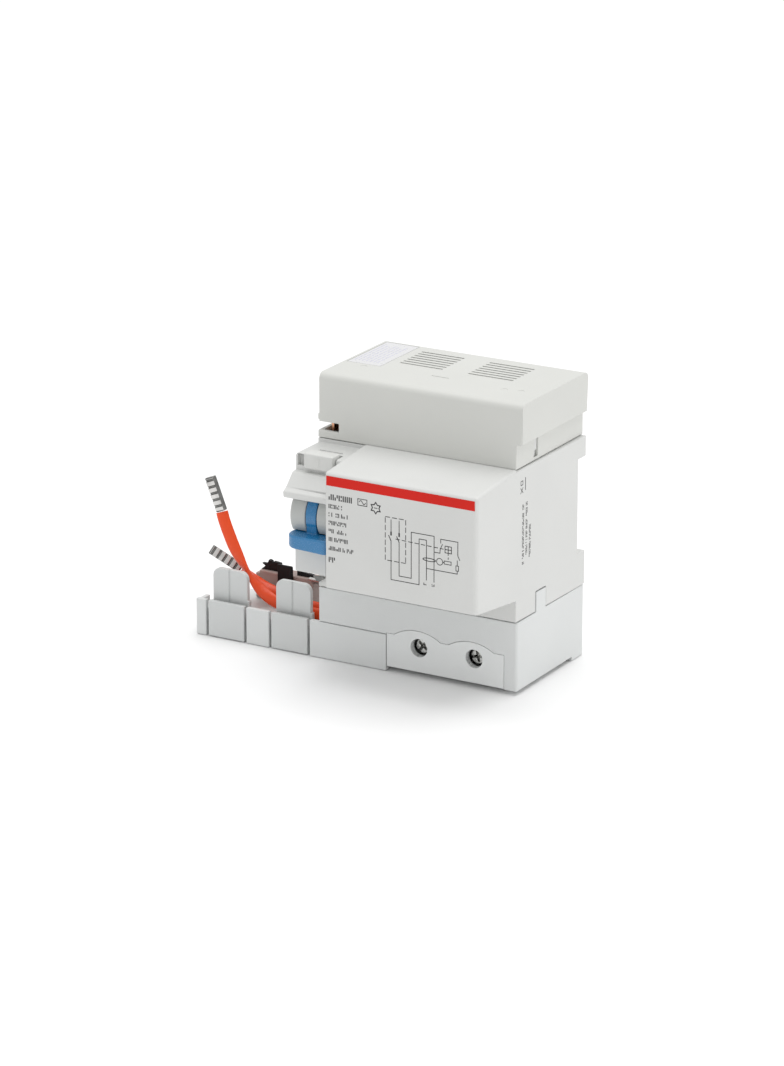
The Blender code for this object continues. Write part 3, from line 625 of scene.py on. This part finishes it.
def top_cover():
    outline = rounded(
        [(SHOULDER, HIGH_SEAM + SEAM), (SHOULDER + 1.0, HEIGHT), (0.0, HEIGHT),
         (0.0, HIGH_SEAM + SEAM)],
        {1: 2.5, 2: 2.5}, 10)
    cover = piece(
        "cover_moulding", prism("x", outline, 0.0, COVER_RIGHT), "housing", COVER,
        "cover_plastic", ["top_cover"])
    vents, vent_pitch, vent_width, first_vent = 7, 2.6, 1.0, -24.0
    slots = []
    for left, right in ((18.4, 35.7), (45.9, 63.9)):
        for i in range(vents):
            start = first_vent + vent_pitch * i
            slots.append(block((left, start, COVER_STEP), (right, start + vent_width, ABOVE)))
    dots = [rod("z", place, 1.3, HEIGHT - 0.12, ABOVE, 32)
            for place in ((9.6, -34.1), (66.3, -34.7), (72.5, -33.7))]
    notch_low, notch_high, inside = 83.8, 86.9, 70.0
    hook_front, hook_back, hook_right, hook_low = -36.5, -33.5, 78.6, 82.3
    cut(
        cover,
        block((WALL, SHOULDER + WALL, inside), (INNER_RIGHT, BEHIND, HEIGHT - 2.0)),
        block((COVER_RIGHT - 1.9, AHEAD, inside), (RIGHTWARD, BEHIND, COVER_STEP)),
        block((LEFTWARD, AHEAD, notch_low), (8.3, -40.0, notch_high)),
        block((inside, hook_front, inside), (hook_right, hook_back, COVER_STEP)),
        block((inside, hook_front, hook_low), (RIGHTWARD, hook_back, COVER_STEP)),
        merged(slots),
        block((1.0, -31.3, HEIGHT - 0.25), (14.8, -2.8, ABOVE)),
        merged(dots),
        block((36.0, -32.6, HEIGHT - 0.2), (43.0, -32.0, ABOVE)),
    )
    join(cover, block((-1.2, -47.5, notch_high), (1.0, -44.5, 89.2)))

    def wider(a, b):
        marked = min(a.x, b.x) > 0.5 and max(a.x, b.x) < 79.0 and max(a.y, b.y) > -40.0
        if marked and min(a.z, b.z) > HEIGHT - 0.3:
            return 0.04
        if marked and min(a.z, b.z) > HEIGHT - 2.2:
            return 0.1
        on_left = -0.1 < min(a.x, b.x) and max(a.x, b.x) < 0.1
        on_right = min(a.x, b.x) > COVER_RIGHT - 0.1
        if on_left and max(a.z, b.z) > COVER_STEP + 1.0:
            return 0.9
        return 0.9 if on_right and max(a.z, b.z) > COVER_STEP + 0.5 else None
    soften(cover, 0.3, wider=wider)
    sticker = piece(
        "sticker_foil", block((1.3, -31.0, HEIGHT - 0.24), (14.5, -3.1, HEIGHT - 0.02)),
        "housing", STICKER, "sticker_white", ["top_sticker"])
    soften(sticker, 0.06)


def middle_housing():
    low, high = LOW_SEAM + SEAM, HIGH_SEAM - SEAM
    rear_right, front_right, beyond = 80.7, 79.2, 85.0
    inside, over, room_left, room_right = -40.0, 90.0, 1.2, 19.2
    housing = piece(
        "middle_moulding", block((0.0, SHOULDER, low), (beyond, 0.0, high)), "housing", HOUSING,
        "housing_plastic", ["middle_housing"])
    nose = prism("x", [
        (-45.0, 33.0), (NOSE_FRONT, 36.5), (NOSE_FRONT, 78.6), (SHOULDER - 0.1, 81.3),
        (SHOULDER - 0.1, high), (-45.0, high)], NOSE_LEFT, beyond)
    join(housing, nose)
    column = [
        (-45.0, 34.4), (COLUMN_FACE, 36.1), (COLUMN_FACE, 64.6), (-73.4, 65.4), (-73.8, 67.6),
        (-71.6, 68.8), (-67.2, 73.2), (-64.8, 73.4), (-64.6, PLATFORM), (-45.0, PLATFORM),
    ]
    join(housing, prism(
        "x", rounded(column, {3: 0.8, 4: 0.8, 5: 1.5, 6: 2.0, 8: 1.0}, 6), 0.0, NOSE_LEFT))
    side = [(front_right, NOSE_FRONT), (front_right, -90.0), (RIGHTWARD, -90.0),
            (RIGHTWARD, 10.0), (rear_right, 10.0), (rear_right, 0.0)]
    cut(housing, prism("z", side, 0.0, ABOVE))
    join(
        housing,
        block((77.5, -36.2, 70.0), (78.3, -33.8, 88.8)),
        block((77.5, -36.2, 84.5), (78.9, -33.8, 88.8)),
    )
    cut(
        housing,
        block((WALL, SHOULDER + WALL, 0.0), (INNER_RIGHT, BEHIND, 74.7)),
        frustum(
            inside, ((21.2, INNER_RIGHT), (36.2, 78.3)),
            NOSE_FRONT + WALL, ((21.2, INNER_RIGHT), (38.6, 75.9))),
        block((room_left, -64.2, 37.3), (room_right, inside, 66.0)),
        block((room_left, -57.8, 65.0), (18.0, inside, 77.8)),
        rod("x", (TOGGLE_Y, TOGGLE_Z), DRUM_RADIUS + 0.4, room_left, room_right, 64),
        block((WALL, SHOULDER + WALL, 74.0), (INNER_RIGHT, BEHIND, over)),
        rod("x", (TOGGLE_Y, TOGGLE_Z), AXLE_RADIUS, LEFTWARD, 24.0, 24),
        rod("x", (-50.5, 64.0), 2.6, LEFTWARD, 24.0, 24),
        block((4.0, FAR_AHEAD, 74.5), (16.2, -59.3, over)),
        block((0.7, FAR_AHEAD, 75.0), (3.3, -62.6, 79.0)),
        rod("y", (TEST_X, TEST_Z), 1.6, -62.0, -56.0, 24),
        block((LEFTWARD, -RAIL_DEPTH, RAIL_LOW), (RIGHTWARD, BEHIND, RAIL_HIGH)),
        block((70.0, -35.6, 20.0), (RIGHTWARD, -28.0, 33.0)),
        block((5.0, -57.6, PLATFORM - 0.5), (14.6, -56.6, over)),
        block((12.4, COLUMN_FACE - 1.0, 30.0), (12.6, COLUMN_FACE + 0.25, 47.0)),
    )
    edge_right = NOSE_LEFT + 58.0

    def wider(a, b):
        front = max(a.y, b.y) < NOSE_FRONT + 1.2
        top, right = min(a.z, b.z) > 78.0, min(a.x, b.x) > edge_right
        ridge = right and top and a.y + b.y < -120.0
        seam = max(a.y, b.y) < COLUMN_FACE + 0.3 and all(12.3 < p.x < 12.7 for p in (a, b))
        dent = min(a.z, b.z) > PLATFORM - 0.6 and all(-57.7 < p.y < -56.5 for p in (a, b))
        hidden = (max(a.x, b.x) < NOSE_LEFT and min(a.y, b.y) > COLUMN_FACE + 0.2
                  and max(a.z, b.z) < 79.0)
        room = 1.0 < min(a.x, b.x) and max(a.x, b.x) < 19.3 and 37.0 < a.z < 66.0 and a.x != b.x
        lip = min(a.z, b.z) > 80.5 and max(a.y, b.y) < SHOULDER + 0.1
        if front and (top or right):
            return 1.5
        if ridge:
            return 1.0
        return 0.04 if seam else 0.1 if dent or hidden or room or lip else None
    soften(housing, 0.3, 4, wider)


def cover_outline(margin, low=0.3):
    left, right, high = 27.9 - margin, 75.1 + margin, 12.7 + margin
    points = [(left, low), (right, low), (right, high)]
    for start, end, rise in ((53.1, 71.0, 2.6), (31.0, 49.6, 2.8)):
        points += arch(start - margin, end + margin, high, rise)
    points.append((left, high))
    return points


def bottom_housing():
    right, top, front_wall = 80.3, LOW_SEAM - SEAM, 2.6
    housing = piece(
        "lower_moulding", block((0.0, SHOULDER, 0.0), (right, 0.0, top)), "housing", LOWER,
        "housing_plastic", ["bottom_housing"])
    collar, entry = 6.0, 4.5
    for x in TERMINAL_X:
        join(housing, block((x - collar, -31.5, -TAIL_DROP), (x + collar, -19.5, 1.0)))
    join(housing, block((78.1, -35.3, 20.0), (right, -28.3, 32.6)))
    foot = 8.0
    join(housing, block((right - foot, -foot, -TAIL_DROP), (right, 0.0, 1.0)))
    join(housing, block((0.0, -foot, -TAIL_DROP), (foot, 0.0, 1.0)))
    cut(
        housing,
        block((WALL, SHOULDER + front_wall, WALL), (INNER_RIGHT, BEHIND, 30.0)),
        block((LEFTWARD, AHEAD, BELOW), (27.9 - SEAM, TAIL_BACK + 0.3, TAIL_LIP + 0.15)),
        block((LEFTWARD, -46.3, 10.0), (8.0, -33.0, 14.2)),
        prism("y", cover_outline(SEAM, BELOW), AHEAD, SHOULDER + 1.2),
    )
    for x in TERMINAL_X:
        cut(
            housing,
            rod("y", (x, TERMINAL_Z), HOLE_RADIUS, AHEAD, -45.0),
            block((x - entry, -29.5, BELOW), (x + entry, -21.5, 5.0)),
        )

    def wider(a, b):
        across = 26.0 < min(a.x, b.x) and max(a.x, b.x) < 77.0
        if across and max(a.y, b.y) < SHOULDER + 2.7 and max(a.z, b.z) < 20.0:
            return 0.06
        return 0.9 if min(a.x, b.x) > 80.0 and max(a.y, b.y) < -49.0 else None
    soften(housing, 0.3, wider=wider)
    plate = piece(
        "terminal_plate", prism("y", cover_outline(0.0), SHOULDER - 0.05, SHOULDER + 0.9),
        "housing", PLATE, "label_print", ["terminal_cover"])
    for x in TERMINAL_X:
        cut(plate, rod("y", (x, TERMINAL_Z), HOLE_RADIUS, AHEAD, -45.0))
    soften(plate, 0.09, 2)


def recess(x, turn, steps):
    """A tapering cutter across a terminal screw. Each step gives its y, half length and half
    width."""
    shape = lofted([
        [(x + u, y, TERMINAL_Z + v) for u, v in rectangle((-reach, -half), (reach, half))]
        for y, reach, half in steps
    ])
    spin = (Matrix.Translation((x, 0.0, TERMINAL_Z))
            @ Matrix.Rotation(math.radians(turn), 4, "Y")
            @ Matrix.Translation((-x, 0.0, -TERMINAL_Z)))
    bmesh.ops.transform(shape, matrix=spin, verts=shape.verts)
    return shape


def screws():
    """Combination heads: a cross recess with a slot through it, seen inside the plate's holes."""
    front, top, back, shank_end = -47.0, -46.5, -44.0, -31.8
    radius, shank = 3.0, 2.0
    for number, (x, turn) in enumerate(zip(TERMINAL_X, (38.0, 78.0)), 1):
        head = rounded([(0.0, top), (radius, top), (radius, back), (0.0, back)], {1: 0.6}, 5)
        loops = [[(u, y, v) for u, v in circle((x, TERMINAL_Z), wide)] for wide, y in head[1:-1]]
        screw = piece(
            f"screw_head_{number}", lofted(loops), f"screw_{number}", ZINC, "zinc",
            [f"terminal_screw_{number}"])
        join(screw, rod("y", (x, TERMINAL_Z), shank, top + 1.5, shank_end, 32))
        cut(
            screw,
            recess(x, turn, ((front, 2.3, 0.65), (top + 2.0, 1.26, 0.33))),
            recess(x, turn + 90.0, ((front, 3.6, 0.55), (top + 1.0, 3.4, 0.27))),
        )
        cut(screw, recess(x, turn, ((front, 0.6, 2.1), (top + 1.9, 0.3, 1.1))))
        soften(screw, 0.08, 2)


top_cover()
middle_housing()
bottom_housing()
screws()


# Tail

def connection_tail():
    outline = [
        (TAIL_FRONT, -TAIL_DROP), (-43.8, -TAIL_DROP), (-43.8, 0.0), (TAIL_BACK, 0.0),
        (TAIL_BACK, TAIL_DECK), (TAIL_FRONT + WALL, TAIL_DECK), (TAIL_FRONT + WALL, TAIL_LIP),
        (TAIL_FRONT, TAIL_LIP),
    ]
    tail = piece(
        "tail_moulding", prism("x", outline, TAIL_LEFT, TAIL_RIGHT), "housing", TAIL,
        "tail_plastic", ["connection_tail"])
    floor_top, deck_underside = 1.5, TAIL_DECK - 1.7
    join(tail, block((TAIL_LEFT, TAIL_FRONT, 0.0), (TAIL_LEFT + WALL, -43.0, TAIL_LIP - 0.4)))
    cut(tail, block((TAIL_LEFT + WALL, TAIL_FRONT + WALL, floor_top),
                    (TAIL_RIGHT - WALL, -10.0, deck_underside)))
    for left in TONGUE_LEFTS:
        cut(tail, block((left - TONGUE_SLOT, AHEAD, BELOW),
                        (left + TONGUE_WIDTH + TONGUE_SLOT, -43.5, 20.0)))
    cut(tail, block((7.0, -42.0, 6.0), (25.0, -26.0, 20.0)))
    soften(tail, 0.3)


def pole_latches():
    front, back, plate, tab = TAIL_FRONT, -44.3, 1.8, 1.9
    foot, web = 0.2 - TAIL_DROP, 0.6
    profile = [
        (front, foot), (back, foot), (back, TAB_TOP), (back - tab, TAB_TOP), (back - tab, web),
        (front + plate, web), (front + plate, TAIL_LIP), (front, TAIL_LIP),
    ]
    width, corner, low, past = 14.5, 3.0, TAIL_LIP + 1.0, 40.0
    half = 0.35
    for side, left in zip(("left", "right"), TONGUE_LEFTS):
        latch = piece(
            f"tongue_{side}", prism("x", profile, left, left + TONGUE_WIDTH),
            f"pole_latch_{side}", LATCH, "latch_plastic", [f"pole_latch_{side}"])
        inner = rounded(
            [(left, low), (left, TAB_TOP), (left + width, TAB_TOP), (left + width, low)],
            {1: corner, 2: corner}, 8)
        around = [(left - 20.0, low), *inner, (left + past, low), (left + past, past),
                  (left - 20.0, past)]
        middle, face = left + 7.0, back - tab
        groove = [(middle - half, face - 1.0), (middle + half, face - 1.0),
                  (middle + half, face + 0.25), (middle, face + 0.45),
                  (middle - half, face + 0.25)]
        cut(latch, prism("y", around, -47.5, -40.0), prism("z", groove, low - 2.0, past))
        soften(latch, 0.28, wider=lambda a, b: (
            0.05 if max(abs(a.x - middle), abs(b.x - middle)) < 0.5 else None))


def insulation():
    left, right, front, back, top = -38.5, -14.4, -30.0, -24.0, 19.6
    shroud = piece(
        "shroud_moulding", block((left, front, TAIL_DECK + 0.3), (right, back, top)), "housing",
        SHROUD, "shroud_mauve", ["shroud_block"])
    cut(shroud, block((left - 1.0, front - 1.0, top - 1.2), (left + 1.6, back + 9.0, top + 2.0)))
    soften(shroud, 0.45)
    clip = [(-31.6, 12.0), (-30.4, 12.0), (-30.4, 22.9), (-30.8, 23.6), (-31.6, 23.6)]
    soften(piece(
        "clip_plate", prism("x", clip, -28.2, -22.2), "housing", CLIP, "clip_black",
        ["centre_clip"]), 0.15, 2)
    teeth = {
        "left": [(-37.0, 19.5), (-28.7, 19.5), (-28.7, 22.9), (-31.6, 23.2), (-32.0, 22.3),
                 (-32.5, 23.3), (-33.6, 23.6), (-34.4, 22.0), (-36.6, 21.9), (-35.2, 21.0)],
        "right": [(-21.7, 19.5), (-14.9, 19.5), (-14.9, 20.7), (-17.4, 21.0), (-17.8, 20.5),
                  (-18.2, 21.2), (-20.6, 21.6), (-21.2, 22.8), (-21.7, 22.8)],
    }
    for side, outline in teeth.items():
        comb = piece(
            f"comb_{side}_teeth", prism("y", outline, -28.6, -27.2), "housing", CLIP,
            "clip_black", [f"comb_{side}"])
        soften(comb, 0.1, 2)
    leaf = rounded(
        [(-30.2, 19.0), (-29.4, 19.4), (-27.6, 17.2), (-24.8, 17.6), (-24.6, 18.2),
         (-27.2, 18.0), (-29.2, 20.2), (-30.4, 19.8)], {1: 0.2, 6: 0.3}, 4)
    soften(piece(
        "leaf_spring_bent", prism("x", leaf, -15.9, -7.2), "housing", STEEL, "steel",
        ["spring_leaf"]), 0.08, 2)
    # A dark metal triangle on the housing front just below the column: painted shadow of the
    # column.
    tip = [(-2.0, 29.3), (-0.6, 27.6), (0.6, 27.4), (2.4, 28.6), (2.9, 29.4)]
    soften(piece(
        "column_shadow_patch", prism("y", tip, SHOULDER - 0.9, SHOULDER - 0.02), "housing", SHEARED_AND_SHADE,
        "steel"), 0.15, 2)
    gland = piece(
        "gland_collar", copy_of("lead_gland"), "housing", LATCH, "latch_plastic", ["lead_gland"])
    soften(gland, 0.3, 2)


connection_tail()
pole_latches()
insulation()


# Toggle and test button

def toggle():
    centre = (TOGGLE_Y, TOGGLE_Z)
    bar_low, bar_high, bar_back, bar_front = 47.6, 52.6, -66.0, -75.5
    web_left, web_right, gap = 7.6, 11.7, 0.3
    plan = rounded(
        [(CHEEK_LEFT, bar_back), (CHEEK_LEFT, bar_front), (CHEEK_RIGHT, bar_front),
         (CHEEK_RIGHT, bar_back)], {1: 4.8, 2: 2.4}, 10)
    handle = piece(
        "handle_moulding", prism("z", plan, bar_low, bar_high), "toggle", HANDLE,
        "handle_blue", ["toggle_handle"])
    join(
        handle,
        rod("x", centre, DRUM_RADIUS, web_left, web_right, 64),
        block((web_left, -70.6, 50.0), (web_right, -62.0, 55.8)),
    )
    cut(handle, rod("x", centre, AXLE_RADIUS, 0.0, 20.0, 24))

    def wider(a, b):
        if (a.y + b.y) / 2 > bar_back - 0.3:
            return None
        if max(a.z, b.z) < bar_low + 0.1:
            return 1.1
        on_top = bar_high - 0.1 < min(a.z, b.z) and max(a.z, b.z) < bar_high + 0.1
        at_web = web_left - 0.1 < (a.x + b.x) / 2 < web_right + 0.1
        return 0.7 if on_top and not at_web else None
    soften(handle, 0.3, 3, wider)
    for side, low, high in (("left", CHEEK_LEFT, web_left - gap),
                            ("right", web_right + gap, CHEEK_RIGHT)):
        cheek = piece(
            f"cheek_{side}_moulding", rod("x", centre, DRUM_RADIUS, low, high, 64), "toggle",
            CHEEK, "cheek_plastic", [f"toggle_cheek_{side}"])
        cut(
            cheek,
            rod("x", centre, AXLE_RADIUS, 0.0, 20.0, 24),
            block((0.0, -90.0, bar_low - 5.0), (20.0, bar_back + gap, bar_high + gap)),
        )
        soften(cheek, 0.4, 3, lambda a, b: 0.1 if abs(a.x - b.x) > 1.0 else None)


def test_button():
    front, behind_face = -66.62, -66.3
    button = piece(
        "test_moulding", block((4.3, -66.5, 74.8), (15.9, -61.3, 80.4)), "test_button",
        BUTTON, "housing_plastic", ["test_button"])
    join(button, rod("y", (TEST_X, TEST_Z), 1.3, -62.0, -54.5, 24))
    soften(button, 0.5, 4)
    letter = [
        block((TEST_X - 1.7, front, 79.0), (TEST_X + 1.7, behind_face, 79.6)),
        block((TEST_X - 0.3, front, 75.9), (TEST_X + 0.3, behind_face, 79.05)),
    ]
    raised = piece(
        "test_mark", merged(letter), "test_button", BUTTON, "housing_plastic")
    raised.data.shade_flat()


toggle()
test_button()


# Printed marks, as thin raised ink

def ribbon(points, width, place, lift, closed=False):
    """A stroke of even width, mitred at its corners. place(u, v, height) puts it on a face."""
    root, longest_mitre = -0.03, 0.4
    path = [Vector(p) for p in points]
    count = len(path)
    sides = []
    for i, here in enumerate(path):
        before = path[i - 1] if i or closed else None
        after = path[(i + 1) % count] if i < count - 1 or closed else None
        incoming = (here - before).normalized() if before is not None else None
        outgoing = (after - here).normalized() if after is not None else None
        incoming = incoming or outgoing
        outgoing = outgoing or incoming
        normal = Vector((-incoming.y - outgoing.y, incoming.x + outgoing.x)).normalized()
        across = Vector((-incoming.y, incoming.x))
        normal *= width / 2 / max(longest_mitre, normal.dot(across))
        sides.append((here + normal, here - normal))
    shape = bmesh.new()
    rings = [
        [shape.verts.new(place(p.x, p.y, h)) for p, h in (
            (left, root), (left, lift), (right, lift), (right, root))]
        for left, right in sides
    ]
    pairs = list(zip(rings, rings[1:] + rings[:1])) if closed else list(zip(rings, rings[1:]))
    for ring, following in pairs:
        for i in range(4):
            j = (i + 1) % 4
            shape.faces.new((ring[j], ring[i], following[i], following[j]))
    if not closed:
        shape.faces.new(rings[0])
        shape.faces.new(list(reversed(rings[-1])))
    bmesh.ops.recalc_face_normals(shape, faces=shape.faces)
    return shape


def on_nose(u, v, height):
    return (u, NOSE_FRONT - height, v)


def on_sticker(u, v, height):
    return (u, v, HEIGHT - 0.02 + height)


def on_side(u, v, height):
    """On the housing's right side, which leans in by 1.5 mm from the rear plane to the nose."""
    return (80.7 + v * 1.5 / 77.2 + height, v, u)


def greeked(left, base, width, height, weight, seed):
    """Upright strokes that stand for one line of small print and spell nothing."""
    chance = random.Random(seed)
    strokes, at, pitch = [], left, weight * 1.75
    while at < left + width:
        kind = chance.randrange(7)
        low, high = base, base + height
        if kind == 1:
            high = base + height * 0.55
        elif kind == 2:
            low = base + height * 0.45
        elif kind == 3:
            strokes.append([(at, low), (at, low + height * 0.3)])
            low = base + height * 0.62
        if kind < 6:
            strokes.append([(at, low), (at, high)])
        at += pitch
    return [(points, weight, False) for points in strokes]


def dashes(start, end, dash, gap):
    """Equal dashes along a straight line."""
    start, end = Vector(start), Vector(end)
    length = (end - start).length
    along = (end - start) / length
    at, pieces = 0.0, []
    while at < length:
        pieces.append([start + along * at, start + along * min(at + dash, length)])
        at += dash + gap
    return pieces


def marks(name, strokes, place, look, slot, body="housing", lift=0.03, stands_for=()):
    shapes = [ribbon(points, width, place, lift, closed) for points, width, closed in strokes]
    made = piece(name, merged(shapes), body, look, slot, stands_for)
    made.data.shade_flat()
    return made


def nose_print():
    hair, thin, medium, bold = 0.24, 0.26, 0.32, 0.46
    lines = greeked(20.9, 69.0, 10.2, 2.1, bold, 3)
    rows = ((65.9, 5.6), (62.9, 7.4), (59.9, 7.4), (56.9, 7.2), (53.9, 7.4), (50.6, 10.0))
    for seed, (base, width) in enumerate(rows, 10):
        lines += greeked(20.8, base, width, 1.5, medium, seed)
    lines += greeked(20.8, 46.2, 2.8, 1.9, 0.4, 5)
    # type mark: a sine wave in a box
    lines.append((rectangle((32.4, 68.9), (36.0, 71.2)), thin, True))
    lines.append((
        [(32.9 + 2.6 * i / 16, 70.05 + 0.65 * math.sin(2 * math.pi * i / 16))
         for i in range(17)], thin, False))
    # low temperature mark: a six-pointed star
    star = [
        (39.5 + r * math.sin(math.pi * k / 6), 68.9 + r * math.cos(math.pi * k / 6))
        for k in range(12) for r in ((2.05,) if k % 2 == 0 else (1.3,))
    ]
    lines.append((star, 0.38, True))
    lines.append(([(38.8, 68.9), (40.2, 68.9)], thin, False))
    # dashed box with two poles, their contacts and the linkage
    box = [(43.3, 66.5), (51.4, 66.5), (51.4, 50.8), (43.3, 50.8)]
    for a, b in zip(box, box[1:] + box[:1]):
        lines += [(dash, thin, False) for dash in dashes(a, b, 1.9, 0.8)]
    for x in (45.6, 48.8):
        lines.append(([(x, 65.8), (x, 60.4)], thin, False))
        lines.append(([(x, 61.4), (x, 60.0)], 0.55, False))
        lines.append(([(x - 1.0, 60.0), (x, 58.0)], medium, False))
    lines += [(dash, thin, False) for dash in dashes((47.4, 59.0), (66.3, 58.5), 1.7, 0.8)]
    lines.append(([(45.6, 58.0), (45.6, 44.0), (56.7, 44.0), (56.7, 60.6), (59.6, 60.6),
                   (59.6, 46.1)], thin, False))
    lines.append(([(48.8, 58.0), (48.8, 45.8), (53.6, 45.8), (53.6, 62.5), (62.6, 62.5),
                   (62.6, 45.8)], thin, False))
    # sensing ring, its winding, the relay and the test circuit
    lines.append((
        [(60.7 + 2.5 * math.cos(a), 53.7 + 0.55 * math.sin(a))
         for a in (2 * math.pi * k / 28 for k in range(28))], 0.28, True))
    lines.append((circle((64.8, 53.7), 1.2, 28), hair, True))
    lines.append((rectangle((66.6, 53.2), (69.3, 54.3)), hair, True))
    lines.append(([(66.0, 53.7), (66.6, 53.7)], thin, False))
    lines.append((rectangle((66.9, 57.3), (69.4, 59.7)), thin, True))
    lines.append(([(68.15, 57.3), (68.15, 59.7)], thin, False))
    lines.append(([(66.9, 58.5), (69.4, 58.5)], thin, False))
    lines += [(dash, thin, False) for dash in dashes((68.15, 57.2), (68.15, 54.4), 0.8, 0.6)]
    lines.append(([(62.7, 56.8), (64.9, 56.8), (65.0, 58.2), (65.9, 60.2)], thin, False))
    lines.append(([(65.2, 60.4), (65.2, 61.9), (71.9, 61.9), (71.9, 57.0), (72.7, 55.4)],
                  thin, False))
    lines.append(([(71.7, 55.3), (71.7, 53.4)], thin, False))
    lines.append((rectangle((71.2, 51.5), (72.2, 53.3)), hair, True))
    lines.append(([(71.7, 51.4), (71.7, 50.4), (59.8, 50.4)], thin, False))
    for x in (58.6, 61.8):
        lines += greeked(x, 44.2, 1.2, 0.9, hair, int(x))
    marks("front_print", lines, on_nose, INK, "label_print", stands_for=["front_label"])
    marks("stripe_print", [([(NOSE_LEFT + 0.35, 75.8), (78.4, 75.8)], 3.5, False)], on_nose,
          RED, "stripe_red", stands_for=["rating_stripe"])


def small_prints():
    lines = []
    for row in range(7):
        lines += [(dash, 0.35, False) for dash in dashes(
            (2.6 + 1.5 * row, -28.0), (2.6 + 1.5 * row, -6.0 - 1.3 * (row % 3)), 2.4, 0.7)]
    marks("sticker_print", lines, on_sticker, LILAC, "sticker_white")
    lines = [([(72.6, -43.6), (77.2, -43.6)], 0.35, False)]
    lines += [([(72.0 + i, -47.0), (74.0 - i, -45.2)], 0.28, False) for i in (0.0, 2.0)]
    lines += [(rectangle((75.0, -46.8), (76.4, -45.4)), 0.26, True)]
    for row, (start, run) in enumerate(((46.0, 22.0), (49.0, 19.0), (47.5, 12.0))):
        lines += greeked(start, -45.6 + 2.4 * row, run, 1.2, 0.3, 20 + row)
    marks("side_print", lines, on_side, INK, "housing_plastic")


nose_print()
small_prints()


# Rear and remaining shown nodes

def relief_edge(a, b):
    """A small width for the long edges of the shallow relief in the rail seat."""
    level = min(a.y, b.y) < 0.1 - RAIL_DEPTH and max(a.y, b.y) > -RAIL_DEPTH - 0.6
    return 0.1 if level and abs(a.x - b.x) > 2.0 else None


def rear():
    for node, body in (("rear_base", "housing"), ("rail_latch", "rail_latch"),
                       ("tail_back_cover", "housing")):
        made = piece(
            f"{node}_shown", copy_of(node), body, SLOT_LOOKS[SLOT_OF[node]], SLOT_OF[node],
            [node])
        soften(made, 0.3, wider=relief_edge)


rear()
place_pieces()


# Studio

def floor():
    half, cells, below_feet = 3.0, 8, -0.0002
    shape = bmesh.new()
    bmesh.ops.create_grid(shape, x_segments=cells, y_segments=cells, size=half)
    mesh = bpy.data.meshes.new("floor")
    shape.to_mesh(mesh)
    shape.free()
    made = bpy.data.objects.new("floor", mesh)
    made.location = (0.0, 0.0, below_feet)
    bpy.context.scene.collection.objects.link(made)
    look, tree, shader = nodes_of("floor_paper")
    slow = noise(tree, 6.0, 2.0)
    tree.links.new(
        tinted(tree, slow.outputs["Fac"], (0.93, 0.93, 0.93), (0.95, 0.95, 0.95)),
        shader.inputs["Base Color"])
    shader.inputs["Roughness"].default_value = 0.9
    shader.inputs["Specular IOR Level"].default_value = 0.1
    mesh.materials.append(look)


def area_light(name, place, aim, size, power):
    """A rectangular lamp that looks from its place at the aim."""
    light = bpy.data.lights.new(name, "AREA")
    light.shape, light.size, light.size_y = "RECTANGLE", size[0], size[1]
    light.energy = power
    made = bpy.data.objects.new(name, light)
    made.location = place
    made.rotation_euler = looking(Vector(place), Vector(aim))
    bpy.context.scene.collection.objects.link(made)


def studio():
    floor()
    middle, sky_strength = (0.0, 0.0, 0.05), 0.72
    area_light("key", (0.1, 0.35, 2.4), middle, (2.4, 2.4), 37.0)
    area_light("side", (2.2, 0.3, 0.7), middle, (1.0, 1.0), 5.0)
    sky = bpy.data.worlds.new("studio")
    sky.use_nodes = True
    background = sky.node_tree.nodes["Background"]
    background.inputs["Color"].default_value = (1.0, 1.0, 1.0, 1.0)
    background.inputs["Strength"].default_value = sky_strength
    bpy.context.scene.world = sky
    bpy.context.scene.view_settings.view_transform = "Standard"


studio()
